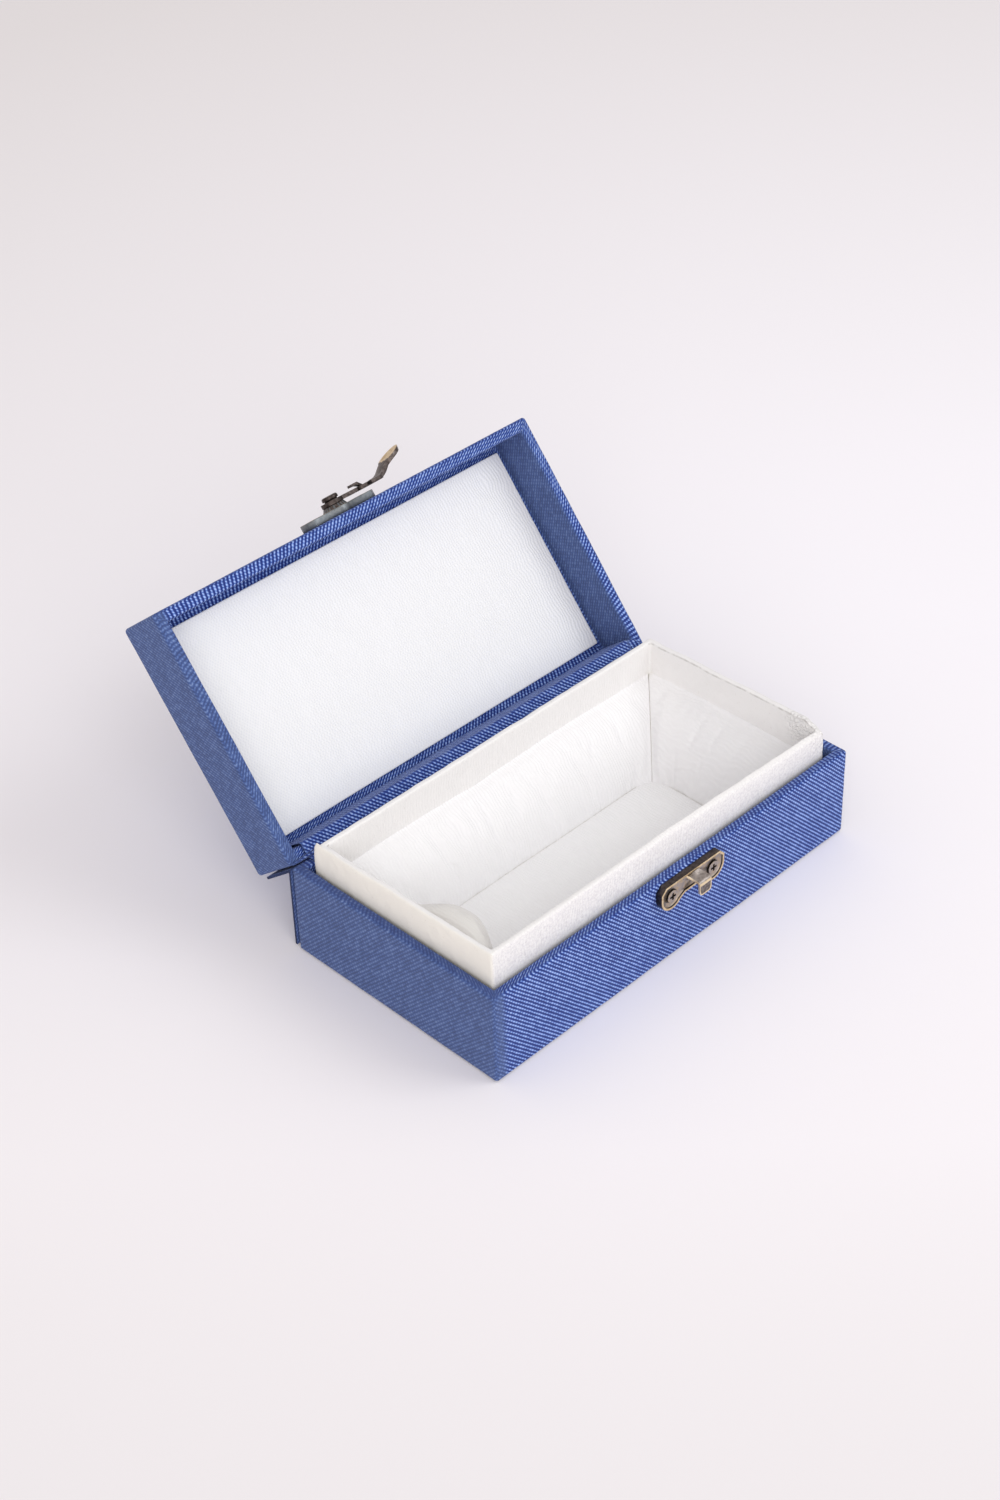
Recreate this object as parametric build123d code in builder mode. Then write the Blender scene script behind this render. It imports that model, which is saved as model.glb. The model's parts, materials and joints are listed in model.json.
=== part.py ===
from build123d import *
import os
from math import cos, hypot, radians, sin, tan

os.makedirs("parts", exist_ok=True)

# Box, outside of the cloth. Origin at the centre of the base's underside,
# X along the length, Y towards the hinge, Z up.
box_length = 140.0
box_width = 75.8
base_height = 28.7
lid_height = 18.2
lid_open_angle = 129.3

# Boards, cards and cloths
base_board = 2.2
lid_board = 2.6
cloth = 0.45
bottom_sheet = 0.5
bottom_sheet_margin = 2.0
outside_turn_in = 10.0
inside_turn_in = 6.0
corner_radius = 1.0
rim_radius = 0.8

# Tray: it stands in the base with a different gap at each side
tray_gap_left = 0.7
tray_gap_right = 2.2
tray_gap_front = 0.4
tray_gap_back = 2.5
tray_lean_ends = 0.2
tray_lean_sides = 1.0
tray_card = 1.2
satin = 0.3
neck_front_left = 9.7
neck_front_right = 9.6
neck_back_left = 8.8
front_cut_height = 6.6
front_cut_start = 26.0
front_cut_back = 6.7
neck_turn_in = 12.0
neck_corner_radius = 0.7
neck_edge_radius = 0.55

# Padded linings of the tray
pad_foot = 18.4
pad_lip = 0.9
pad_drop = 10.0
pad_drop_left = 3.0
pad_crown_end = 1.8
pad_crown_middle = 3.0
pad_fit = 0.05
pad_mitre_gap = 0.1
floor_card = 0.8
floor_gap = 0.25
floor_corner_radius = 1.5

# White panel inside the lid
panel_card = 1.2
panel_side_gap = 1.6
panel_front_gap = 2.0
panel_back_gap = 3.4
panel_corner_radius = 0.6

# Cloth hinge
hinge_cloth = 0.8
hinge_end_gap = 1.0
hinge_base_leg = 25.0
hinge_lid_leg = 15.0
inner_hinge_cloth = 0.35
inner_hinge_fit = 0.05
inner_hinge_fold = 0.8
inner_hinge_end_gap = 2.5
inner_hinge_base_leg = 12.0
inner_hinge_lid_leg = 12.0
rim_gap = 2 * (inner_hinge_cloth + inner_hinge_fit)

# Swing latch
latch_x = 2.6
catch_drop = 4.9
rivet_rise = 9.6
plate_length = 25.0
plate_height = 8.4
plate_depth = 2.2
plate_sheet = 0.6
plate_rim = 0.7
plate_sink = 0.5
plate_facet = 1.8
plate_waist_width = 6.4
plate_waist_drop = 1.6
plate_lobe_turn = -140.0
screw_spacing = 16.3
screw_head_radius = 2.0
screw_head_height = 0.55
screw_shank_radius = 0.9
screw_slot_width = 0.4
screw_slot_length = 2.2
screw_slot_depth = 0.4
screw_tip_cover = 0.3
hole_fit = 0.02

hook_width = 4.6
hook_sheet = 0.8
hook_reach = 6.6
hook_drop = 0.9
hook_tip = 4.6
hook_bend_radius = 1.2

boss_foot_radius = 4.1
boss_top_radius = 3.1
boss_height = 1.8
rivet_radius = 1.0
rivet_head_radius = 2.45
rivet_head_height = 1.2
rivet_tail_radius = 1.8
rivet_tail_height = 0.5
washer_radius = 2.0
washer_height = 0.4
running_fit = 0.06
stack_gap = 0.1

lever_sheet = 0.9
lever_eye_radius = 3.2
lever_shank_width = 4.2
lever_head_start = 8.6
lever_head_end = 17.6
lever_head_leading = 3.5
lever_head_trailing = 4.8
lever_head_radius = 1.4
lever_bend_start = 17.0
lever_bend_radius = 9.0
lever_bend_angle = 30.0
lever_tab_radius = 3.3
lever_tab_center = 24.4
tab_dish_radius = 12.0
tab_dish_depth = 0.3
notch_gap = 0.4
lip_start = 14.0
lip_end = 10.2
lip_width = 1.6
lip_rise = 1.5
lip_sheet = 0.5
lip_edge_gap = 0.2

# Frames of the moving pieces at rest, with the lid leaning open
half_length = box_length / 2
half_width = box_width / 2
hinge_height = base_height + rim_gap / 2
open_turn = radians(lid_open_angle)
lid_up = Vector(0, sin(open_turn), cos(open_turn))
lid_back = Vector(0, cos(open_turn), -sin(open_turn))
hinge_point = Vector(0, half_width, hinge_height)

# Lid frame: on the lid's outer top, its Z running down into the lid as it does in the base
lid_top_center = hinge_point + lid_up * (lid_height + rim_gap / 2) - lid_back * half_width
base_frame = Plane(origin=(0, 0, bottom_sheet), x_dir=(1, 0, 0), z_dir=(0, 0, 1))
lid_frame = Plane(origin=lid_top_center, x_dir=(1, 0, 0), z_dir=lid_up * -1)

# Latch frames: on the front faces, X along the box, Y up the closed box, Z outwards
catch_height = base_height - catch_drop
catch_frame = Plane(origin=(latch_x, -half_width, catch_height), x_dir=(1, 0, 0), z_dir=(0, -1, 0))
rivet_point = hinge_point + lid_up * (rim_gap / 2 + rivet_rise) - lid_back * box_width
rivet_point = rivet_point + Vector(latch_x, 0, 0)
latch_frame = Plane(origin=rivet_point, x_dir=(1, 0, 0), z_dir=lid_back * -1)


def save(piece, name):
    """Label a finished piece and write its file."""
    piece.part.label = name
    export_step(piece.part, f"parts/{name}.step")


def flat_board(frame, size_x, size_y, low, thickness, center=(0, 0)):
    """A rectangular board lying in the frame, its lower face at the height low."""
    with BuildPart() as piece:
        with BuildSketch(frame.offset(low)):
            with Locations(center):
                Rectangle(size_x, size_y)
        extrude(amount=thickness)
    return piece


def box_boards(frame, board, height, front_side):
    """Floor board and four wall boards of a box; front_side is the frame's Y sign of the front."""
    inner_x = box_length - 2 * (cloth + board)
    side_y = half_width - cloth - board / 2
    side_x = half_length - cloth - board / 2
    wall_low = cloth + board
    wall_height = height - cloth - wall_low
    full_x = box_length - 2 * cloth
    full_y = box_width - 2 * cloth
    inner_y = full_y - 2 * board
    return {
        "floor": flat_board(frame, full_x, full_y, cloth, board),
        "front": flat_board(frame, full_x, board, wall_low, wall_height, (0, front_side * side_y)),
        "back": flat_board(frame, full_x, board, wall_low, wall_height, (0, -front_side * side_y)),
        "left": flat_board(frame, board, inner_y, wall_low, wall_height, (-side_x, 0)),
        "right": flat_board(frame, board, inner_y, wall_low, wall_height, (side_x, 0)),
    }


def cover_cloth(frame, board, height, open_floor):
    """Cloth over the outside, round the rim, down the inside and a little way over the floor."""
    up = Axis(frame.origin, frame.z_dir)
    wall = board + 2 * cloth
    inner_x = box_length - 2 * wall
    inner_y = box_width - 2 * wall
    with BuildPart() as piece:
        with BuildSketch(frame):
            Rectangle(box_length, box_width)
        extrude(amount=height)
        fillet(piece.edges().filter_by(up), radius=corner_radius)
        fillet(piece.faces().sort_by(up)[0].edges(), radius=cloth)
        with BuildSketch(frame.offset(height)):
            Rectangle(inner_x, inner_y)
        extrude(amount=-(height - wall), mode=Mode.SUBTRACT)
        fillet(piece.faces().sort_by(up)[-1].edges(), radius=rim_radius)
        with BuildSketch(frame.offset(cloth)):
            Rectangle(box_length - 2 * cloth, box_width - 2 * cloth)
        extrude(amount=board, mode=Mode.SUBTRACT)
        with BuildSketch(frame.offset(cloth + board)):
            Rectangle(box_length - 2 * cloth, box_width - 2 * cloth)
            Rectangle(inner_x + 2 * cloth, inner_y + 2 * cloth, mode=Mode.SUBTRACT)
        extrude(amount=height - board - 2 * cloth, mode=Mode.SUBTRACT)
        with BuildSketch(frame.offset(cloth + board)):
            Rectangle(inner_x - 2 * inside_turn_in, inner_y - 2 * inside_turn_in)
        extrude(amount=cloth, mode=Mode.SUBTRACT)
        if open_floor:
            with BuildSketch(frame):
                Rectangle(box_length - 2 * outside_turn_in, box_width - 2 * outside_turn_in)
            extrude(amount=cloth, mode=Mode.SUBTRACT)
    return piece


def screw_holes(frame, board):
    """The two screw holes behind a latch plate, through the cloth and into the board."""
    with BuildPart() as holes:
        with BuildSketch(frame):
            with GridLocations(screw_spacing, 0, 2, 1):
                Circle(screw_shank_radius + hole_fit)
        extrude(amount=-(cloth + board - screw_tip_cover))
    return holes.part


# Base: boards, cloth and the sheet under it
base_wall = base_board + 2 * cloth
base_box_height = base_height - bottom_sheet
base_boards = box_boards(base_frame, base_board, base_box_height, -1)
catch_holes = screw_holes(catch_frame, base_board)
with base_boards["front"]:
    add(catch_holes, mode=Mode.SUBTRACT)
save(base_boards["floor"], "base_bottom_board")
for side in ("front", "back", "left", "right"):
    save(base_boards[side], f"base_{side}_board")

base_cover = cover_cloth(base_frame, base_board, base_box_height, True)
with base_cover:
    add(catch_holes, mode=Mode.SUBTRACT)
save(base_cover, "base_cover_cloth")

with BuildPart() as base_bottom_sheet:
    with BuildSketch(Plane.XY):
        RectangleRounded(
            box_length - 2 * bottom_sheet_margin, box_width - 2 * bottom_sheet_margin, corner_radius
        )
    extrude(amount=bottom_sheet)
save(base_bottom_sheet, "base_bottom_sheet")


# Lid: boards, cloth and the white panel
lid_wall = lid_board + 2 * cloth
lid_boards = box_boards(lid_frame, lid_board, lid_height, 1)
latch_holes = screw_holes(latch_frame, lid_board)
with lid_boards["front"]:
    add(latch_holes, mode=Mode.SUBTRACT)
save(lid_boards["floor"], "lid_top_board")
for side in ("front", "back", "left", "right"):
    save(lid_boards[side], f"lid_{side}_board")

lid_cover = cover_cloth(lid_frame, lid_board, lid_height, False)
with lid_cover:
    add(latch_holes, mode=Mode.SUBTRACT)
save(lid_cover, "lid_cover_cloth")

lid_floor = cloth + lid_board + cloth
panel_x = box_length - 2 * lid_wall - 2 * panel_side_gap
panel_y = box_width - 2 * lid_wall - panel_front_gap - panel_back_gap
panel_center = (0, (panel_back_gap - panel_front_gap) / 2)
with BuildPart() as lid_panel_card:
    with BuildSketch(lid_frame.offset(lid_floor)):
        with Locations(panel_center):
            Rectangle(panel_x - 2 * satin, panel_y - 2 * satin)
    extrude(amount=panel_card)
save(lid_panel_card, "lid_panel_card")

with BuildPart() as lid_panel_satin:
    with BuildSketch(lid_frame.offset(lid_floor)):
        with Locations(panel_center):
            RectangleRounded(panel_x, panel_y, panel_corner_radius)
    extrude(amount=panel_card + satin)
    panel_face = lid_panel_satin.faces().sort_by(Axis(lid_frame.origin, lid_frame.z_dir))[-1]
    fillet(panel_face.edges(), radius=satin)
    with BuildSketch(lid_frame.offset(lid_floor)):
        with Locations(panel_center):
            Rectangle(panel_x - 2 * satin, panel_y - 2 * satin)
    extrude(amount=panel_card, mode=Mode.SUBTRACT)
save(lid_panel_satin, "lid_panel_satin")


# Tray: its top slopes a little, as it stands in the base
tray_floor = bottom_sheet + cloth + base_board + cloth
tray_left = half_length - base_wall - tray_gap_left
tray_right = half_length - base_wall - tray_gap_right
tray_front = half_width - base_wall - tray_gap_front
tray_back = half_width - base_wall - tray_gap_back
tray_center = ((tray_right - tray_left) / 2, (tray_back - tray_front) / 2)
tray_x = tray_left + tray_right
tray_y = tray_front + tray_back
slope_x = (neck_front_right - neck_front_left) / tray_x
slope_y = (neck_back_left - neck_front_left) / tray_y
neck_origin = (-tray_left, -tray_front, base_height + neck_front_left)
neck_plane = Plane(origin=neck_origin, x_dir=(1, 0, slope_x), z_dir=(-slope_x, -slope_y, 1))
tray_sky = base_height + 2 * neck_front_left
sky_lean = (tray_sky - tray_floor) / (base_height + neck_front_left - tray_floor)


def neck_top(x, y):
    """Height of the tray's top edge above a point of the base."""
    return base_height + neck_front_left + slope_x * (x + tray_left) + slope_y * (y + tray_front)


# The front wall is cut lower towards the right, and the cut ends a little way along the right wall
cut_corner = Vector(tray_right, -tray_front, base_height + front_cut_height)
cut_left_x = front_cut_start - tray_left
cut_left = Vector(cut_left_x, -tray_front, neck_top(cut_left_x, -tray_front))
cut_back_y = front_cut_back - tray_front
cut_back = Vector(tray_right, cut_back_y, neck_top(tray_right, cut_back_y))
cut_way = cut_corner - cut_left
cut_plane = Plane(origin=cut_corner, x_dir=cut_way, z_dir=cut_way.cross(cut_back - cut_corner))


def tray_block(inset, drop):
    """The tray's outline drawn in by inset, leaning inwards, cut by its sloping top."""
    size_x = tray_x - 2 * inset
    size_y = tray_y - 2 * inset
    with BuildPart() as block:
        with BuildSketch(Plane.XY.offset(tray_floor)):
            with Locations(tray_center):
                Rectangle(size_x, size_y)
        with BuildSketch(Plane.XY.offset(tray_sky)):
            with Locations(tray_center):
                Rectangle(size_x - 2 * sky_lean * tray_lean_ends, size_y - 2 * sky_lean * tray_lean_sides)
        loft(ruled=True)
        split(bisect_by=neck_plane.offset(-drop), keep=Keep.BOTTOM)
        split(bisect_by=cut_plane.offset(-drop), keep=Keep.BOTTOM)
    return block.part


def side_line(side, inset_ends, inset_sides):
    """Start and end of one side of the tray's outline drawn in by the insets, and its way inwards."""
    left = inset_ends - tray_left
    right = tray_right - inset_ends
    front = inset_sides - tray_front
    back = tray_back - inset_sides
    return {
        "front": ((left, front), (right, front), (0, 1)),
        "back": ((right, back), (left, back), (0, -1)),
        "left": ((left, back), (left, front), (1, 0)),
        "right": ((right, front), (right, back), (-1, 0)),
    }[side]


def mitred_prism(side, depth, gap, lean):
    """A prism over one side of the tray, its ends cut on the corners' diagonals, upright or leaning."""
    with BuildPart() as prism:
        for height, share in ((tray_floor, 0), (tray_sky, lean)):
            start, end, inward = side_line(side, share * tray_lean_ends, share * tray_lean_sides)
            along = (inward[1], -inward[0])
            outline = []
            for (x, y), way, step in ((start, 1, 0), (end, -1, 0), (end, -1, depth), (start, 1, depth)):
                shift = way * (step + gap)
                x += along[0] * shift + inward[0] * step
                y += along[1] * shift + inward[1] * step
                outline.append((x, y))
            with BuildSketch(Plane.XY.offset(height)):
                Polygon(*outline, align=None)
        loft(ruled=True)
    return prism.part


side_inset = satin + tray_card
with BuildPart() as tray_bottom_card:
    with BuildSketch(Plane.XY.offset(tray_floor)):
        with Locations(tray_center):
            card_x = tray_x - 2 * (side_inset + tray_lean_ends)
            card_y = tray_y - 2 * (side_inset + tray_lean_sides)
            Rectangle(card_x, card_y)
    extrude(amount=tray_card)
save(tray_bottom_card, "tray_bottom_card")

card_outside = tray_block(satin, satin)
card_inside = tray_block(side_inset, -satin)
with BuildPart() as card_ring:
    add(card_outside)
    add(card_inside, mode=Mode.SUBTRACT)
for side in ("front", "back", "left", "right"):
    side_block = mitred_prism(side, 3 * side_inset, 0, sky_lean)
    with BuildPart() as tray_side_card:
        add(card_ring.part)
        add(side_block, mode=Mode.INTERSECT)
    save(tray_side_card, f"tray_{side}_card")

neck_outside = tray_block(0, 0)
neck_inside = tray_block(side_inset + satin, -satin)
below_turn_in = tray_block(side_inset, neck_turn_in)
with BuildPart() as tray_neck_satin:
    add(neck_outside)
    upright_edges = tray_neck_satin.edges().filter_by(lambda edge: abs((edge % 0.5).Z) > 0.9)
    fillet(upright_edges, radius=neck_corner_radius)
    add(neck_inside, mode=Mode.SUBTRACT)
    top_faces = tray_neck_satin.faces().filter_by(lambda face: face.normal_at().Z > 0.8)
    top_edges = top_faces.edges()
    fillet([edge for edge in top_edges if top_edges.count(edge) == 1], radius=neck_edge_radius)
    add(card_ring.part, mode=Mode.SUBTRACT)
    add(below_turn_in, mode=Mode.SUBTRACT)
save(tray_neck_satin, "tray_neck_satin")


# Padding of the tray: bulging wedges, mitred in the corners, each under its own satin lining
pad_back_sides = side_inset + satin + tray_lean_sides
pad_back_ends = side_inset + satin + tray_lean_ends
pad_low = tray_floor + tray_card


def pad_form(side, grow):
    """The wedge along one side of the tray, grown by a skin's thickness."""
    pad_back = pad_back_ends if side in ("left", "right") else pad_back_sides
    drop = pad_drop_left if side == "left" else pad_drop
    start, end, inward = side_line(side, pad_back_ends, pad_back_sides)
    middle = ((start[0] + end[0]) / 2, (start[1] + end[1]) / 2)
    with BuildPart() as form:
        for (x, y), crown in ((start, pad_crown_end), (middle, pad_crown_middle), (end, pad_crown_end)):
            height = neck_top(x, y) - drop - pad_low + grow
            lip = pad_lip + grow
            foot = pad_foot - pad_back + grow
            slope = hypot(foot - lip, height)
            bulge_x = (lip + foot) / 2 + crown * height / slope
            bulge_y = height / 2 + crown * (foot - lip) / slope
            section = Plane(origin=(x, y, pad_low), x_dir=(*inward, 0), z_dir=(inward[1], -inward[0], 0))
            with BuildSketch(section):
                with BuildLine():
                    Polyline((foot, 0), (0, 0), (0, height), (lip, height))
                    ThreePointArc((lip, height), (bulge_x, bulge_y), (foot, 0))
                make_face()
        loft()
    return form.part


for side in ("front", "back", "left", "right"):
    mitre = mitred_prism(side, pad_foot + 2 * satin, pad_mitre_gap / 2, 0)
    inner_form = pad_form(side, 0)
    skin_inside = pad_form(side, pad_fit)
    skin_outside = pad_form(side, pad_fit + satin)
    with BuildPart() as wadding:
        add(inner_form)
        add(mitre, mode=Mode.INTERSECT)
    save(wadding, f"tray_{side}_wadding")
    with BuildPart() as lining:
        add(skin_outside)
        add(skin_inside, mode=Mode.SUBTRACT)
        add(mitre, mode=Mode.INTERSECT)
    save(lining, f"tray_{side}_lining")

floor_inset = 2 * (pad_foot + pad_fit + satin + floor_gap)
floor_x = tray_x - floor_inset
floor_y = tray_y - floor_inset
with BuildPart() as tray_floor_card:
    with BuildSketch(Plane.XY.offset(pad_low)):
        with Locations(tray_center):
            Rectangle(floor_x - 2 * satin, floor_y - 2 * satin)
    extrude(amount=floor_card)
save(tray_floor_card, "tray_floor_card")

with BuildPart() as tray_floor_satin:
    with BuildSketch(Plane.XY.offset(pad_low)):
        with Locations(tray_center):
            RectangleRounded(floor_x, floor_y, floor_corner_radius)
    extrude(amount=floor_card + satin)
    add(tray_floor_card.part, mode=Mode.SUBTRACT)
save(tray_floor_satin, "tray_floor_satin")


# Cloth hinge: a fold of cloth between the rims, and a strip glued over both back walls
def back_point(body, depth, rise):
    """A point by the back walls: depth in from their outer face, rise from the body's own rim."""
    if body == "base":
        return hinge_point + Vector(0, -depth, rise - rim_gap / 2)
    return hinge_point - lid_back * depth + lid_up * (rise + rim_gap / 2)


def side_outline(points):
    """The points as places across the box, seen from its left end."""
    return [(point.Y, point.Z) for point in points]


inner_hinge_outline = [
    back_point("base", base_wall, -inner_hinge_base_leg),
    back_point("base", base_wall + inner_hinge_cloth, -inner_hinge_base_leg),
    back_point("base", base_wall + inner_hinge_cloth, inner_hinge_cloth),
    back_point("base", inner_hinge_fold, inner_hinge_cloth),
    back_point("lid", inner_hinge_fold, -inner_hinge_cloth),
    back_point("lid", lid_wall + inner_hinge_cloth, -inner_hinge_cloth),
    back_point("lid", lid_wall + inner_hinge_cloth, inner_hinge_lid_leg),
    back_point("lid", lid_wall, inner_hinge_lid_leg),
    back_point("lid", lid_wall, 0),
    back_point("lid", 0, 0),
    back_point("base", 0, 0),
    back_point("base", base_wall, 0),
]
with BuildPart() as inner_hinge_strip:
    with BuildSketch(Plane.YZ):
        Polygon(*side_outline(inner_hinge_outline), align=None)
    extrude(amount=half_length - base_wall - inner_hinge_end_gap, both=True)
save(inner_hinge_strip, "inner_hinge_cloth")

# The strip's own outer faces meet half way between the two walls, in the fold of the open lid
fold_way = (lid_up - Vector(0, 0, 1)).normalized()
fold_reach = hinge_cloth / sin((radians(180) - open_turn) / 2)
outer_hinge_outline = [
    hinge_point,
    back_point("base", 0, -hinge_base_leg),
    back_point("base", -hinge_cloth, -hinge_base_leg),
    hinge_point + fold_way * fold_reach,
    back_point("lid", -hinge_cloth, hinge_lid_leg),
    back_point("lid", 0, hinge_lid_leg),
]
with BuildPart() as outer_hinge_strip:
    with BuildSketch(Plane.YZ):
        Polygon(*side_outline(outer_hinge_outline), align=None)
    extrude(amount=half_length - hinge_end_gap, both=True)
    add(inner_hinge_strip.part, mode=Mode.SUBTRACT)
save(outer_hinge_strip, "outer_hinge_cloth")


# Swing latch: both plates are stamped sheet with a turned-back rim round a sunk face
plate_face = plate_depth - plate_sink
lobe_turn = radians(plate_lobe_turn)
lever_low = plate_face + boss_height + stack_gap
lever_top = lever_low + lever_sheet
washer_low = lever_top + stack_gap
head_low = washer_low + washer_height


def plate_outline(frame, middle_radius, inset):
    """Straight upper edge, a round lobe at each end, a waist below, and a round middle or none."""
    lobe = plate_height / 2 - inset
    end = plate_length / 2 - inset
    lobe_x = end - lobe
    facet = plate_facet - inset / 2
    turn_x = lobe_x + lobe * cos(lobe_turn)
    turn_y = lobe * sin(lobe_turn)
    waist_x = plate_waist_width / 2
    waist_y = inset - plate_waist_drop
    low_x = lobe_x + lobe * cos(lobe_turn / 2)
    low_y = lobe * sin(lobe_turn / 2)
    with BuildSketch(frame) as outline:
        with BuildLine():
            Polyline((-end, 0), (-end, lobe - facet), (facet - end, lobe), (0, lobe))
            Polyline((0, lobe), (end - facet, lobe), (end, lobe - facet), (end, 0))
            ThreePointArc((end, 0), (low_x, low_y), (turn_x, turn_y))
            Polyline((turn_x, turn_y), (waist_x, waist_y), (-waist_x, waist_y), (-turn_x, turn_y))
            ThreePointArc((-turn_x, turn_y), (-low_x, low_y), (-end, 0))
        make_face()
        if middle_radius > 0:
            Circle(middle_radius - inset)
    return outline.sketch


def stamped_plate(frame, middle_radius):
    """A latch plate without its hook or boss, open at the back, with its two screw holes."""
    outer = plate_outline(frame, middle_radius, 0)
    rim_inside = plate_outline(frame.offset(plate_face), middle_radius, plate_rim)
    hollow = plate_outline(frame, middle_radius, plate_sheet)
    with BuildPart() as plate:
        extrude(outer, amount=plate_depth)
        extrude(rim_inside, amount=plate_sink, mode=Mode.SUBTRACT)
        extrude(hollow, amount=plate_face - plate_sheet, mode=Mode.SUBTRACT)
        with BuildSketch(frame):
            with GridLocations(screw_spacing, 0, 2, 1):
                Circle(screw_shank_radius + hole_fit)
        extrude(amount=plate_face, mode=Mode.SUBTRACT)
    return plate.part


def plate_screws(frame, board):
    """The two cross-head screws of a plate, one solid each."""
    with BuildPart() as screws:
        with BuildSketch(frame.offset(plate_face)):
            with GridLocations(screw_spacing, 0, 2, 1):
                Circle(screw_head_radius)
        extrude(amount=screw_head_height)
        head_faces = screws.faces().filter_by(frame).sort_by(Axis(frame.origin, frame.z_dir))[-2:]
        fillet(head_faces.edges(), radius=screw_head_height / 2)
        with BuildSketch(frame.offset(plate_face + screw_head_height)):
            with GridLocations(screw_spacing, 0, 2, 1):
                Rectangle(screw_slot_length, screw_slot_width)
                Rectangle(screw_slot_width, screw_slot_length)
        extrude(amount=-screw_slot_depth, mode=Mode.SUBTRACT)
        with BuildSketch(frame.offset(plate_face)):
            with GridLocations(screw_spacing, 0, 2, 1):
                Circle(screw_shank_radius)
        extrude(amount=-(plate_face + cloth + board - screw_tip_cover))
    return screws


# Catch plate, with the hook that rises from its face and turns down over the lever
hook_top = plate_height / 2 - hook_drop
catch_side = Plane(catch_frame.origin, x_dir=catch_frame.z_dir, z_dir=catch_frame.x_dir * -1)
catch_sheet = stamped_plate(catch_frame, 0)
with BuildPart() as catch_plate:
    add(catch_sheet)
    with BuildSketch(catch_side):
        with BuildLine():
            FilletPolyline(
                (plate_face - plate_sheet, hook_top),
                (hook_reach, hook_top),
                (hook_reach, hook_top - hook_tip),
                radius=hook_bend_radius,
            )
            FilletPolyline(
                (plate_face - plate_sheet, hook_top - hook_sheet),
                (hook_reach - hook_sheet, hook_top - hook_sheet),
                (hook_reach - hook_sheet, hook_top - hook_tip),
                radius=hook_bend_radius - hook_sheet,
            )
            Line((plate_face - plate_sheet, hook_top), (plate_face - plate_sheet, hook_top - hook_sheet))
            Line((hook_reach, hook_top - hook_tip), (hook_reach - hook_sheet, hook_top - hook_tip))
        make_face()
    extrude(amount=hook_width / 2, both=True)
save(catch_plate, "catch_plate")

catch_screws = plate_screws(catch_frame, base_board)
save(catch_screws, "catch_plate_screws")

# Latch plate, with the stamped boss that carries the rivet; its straight edge is at the lid's rim
latch_plate_frame = Plane(latch_frame.origin, x_dir=latch_frame.x_dir * -1, z_dir=latch_frame.z_dir)
latch_sheet = stamped_plate(latch_plate_frame, boss_foot_radius + plate_rim)
with BuildPart() as latch_plate:
    add(latch_sheet)
    with BuildSketch(latch_frame.offset(plate_face)):
        Circle(boss_foot_radius)
    with BuildSketch(latch_frame.offset(plate_face + boss_height)):
        Circle(boss_top_radius)
    loft()
    with BuildSketch(latch_frame.offset(plate_face - plate_sheet)):
        Circle(boss_foot_radius - plate_sheet)
    with BuildSketch(latch_frame.offset(plate_face + boss_height - plate_sheet)):
        Circle(boss_top_radius - plate_sheet)
    loft(mode=Mode.SUBTRACT)
    with BuildSketch(latch_frame.offset(plate_face)):
        Circle(rivet_radius + hole_fit)
    extrude(amount=boss_height, mode=Mode.SUBTRACT)
save(latch_plate, "latch_plate")

latch_screws = plate_screws(latch_frame, lid_board)
save(latch_screws, "latch_plate_screws")

rivet_tail_top = plate_face + boss_height - plate_sheet
with BuildPart() as rivet:
    with BuildSketch(latch_frame.offset(rivet_tail_top)):
        Circle(rivet_tail_radius)
    extrude(amount=-rivet_tail_height)
    with BuildSketch(latch_frame.offset(rivet_tail_top)):
        Circle(rivet_radius)
    extrude(amount=head_low - rivet_tail_top)
    with BuildSketch(latch_frame.offset(head_low)):
        Circle(rivet_head_radius)
    extrude(amount=rivet_head_height)
    head_face = rivet.faces().sort_by(Axis(latch_frame.origin, latch_frame.z_dir))[-1]
    fillet(head_face.edges(), radius=rivet_head_height / 2)
save(rivet, "rivet")

with BuildPart() as rivet_washer:
    with BuildSketch(latch_frame.offset(washer_low)):
        Circle(washer_radius)
        Circle(rivet_radius + hole_fit, mode=Mode.SUBTRACT)
    extrude(amount=washer_height)
save(rivet_washer, "rivet_washer")

# Lever: bent sheet cut to its outline, with the arc-shaped notch that swings onto the hook
hook_distance = catch_drop + rim_gap + rivet_rise - hook_top
notch_inner = hook_distance - notch_gap
notch_outer = hypot(hook_distance + hook_sheet, hook_width / 2) + notch_gap
notch_end = hook_width / 2 + notch_gap
lever_end = lever_tab_center + lever_tab_radius
latch_side = Plane(latch_frame.origin, x_dir=latch_frame.x_dir, z_dir=latch_frame.y_dir * -1)
bend = radians(lever_bend_angle)


def rising_height(low, x):
    """Height over the wall of a side line that starts at low, where it rises to the tab."""
    radius = lever_bend_radius - (low - lever_low)
    bend_x = lever_bend_start + radius * sin(bend)
    return low + radius * (1 - cos(bend)) + (x - bend_x) * tan(bend)


def lever_curve(low):
    """Side line of the lever's sheet at the height low over the wall: flat, then bent outwards."""
    radius = lever_bend_radius - (low - lever_low)
    bend_x = lever_bend_start + radius * sin(bend)
    bend_z = low + radius * (1 - cos(bend))
    half_x = lever_bend_start + radius * sin(bend / 2)
    half_z = low + radius * (1 - cos(bend / 2))
    start = (-lever_eye_radius, low)
    end = (lever_end + lever_sheet, rising_height(low, lever_end + lever_sheet))
    Line(start, (lever_bend_start, low))
    ThreePointArc((lever_bend_start, low), (half_x, half_z), (bend_x, bend_z))
    Line((bend_x, bend_z), end)
    return start, end


dish_rise = tab_dish_radius - tab_dish_depth
dish_x = lever_tab_center - dish_rise * sin(bend)
dish_z = rising_height(lever_top, lever_tab_center) + dish_rise * cos(bend)
dish_center = latch_frame.origin + latch_frame.x_dir * dish_x + latch_frame.z_dir * dish_z

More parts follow.
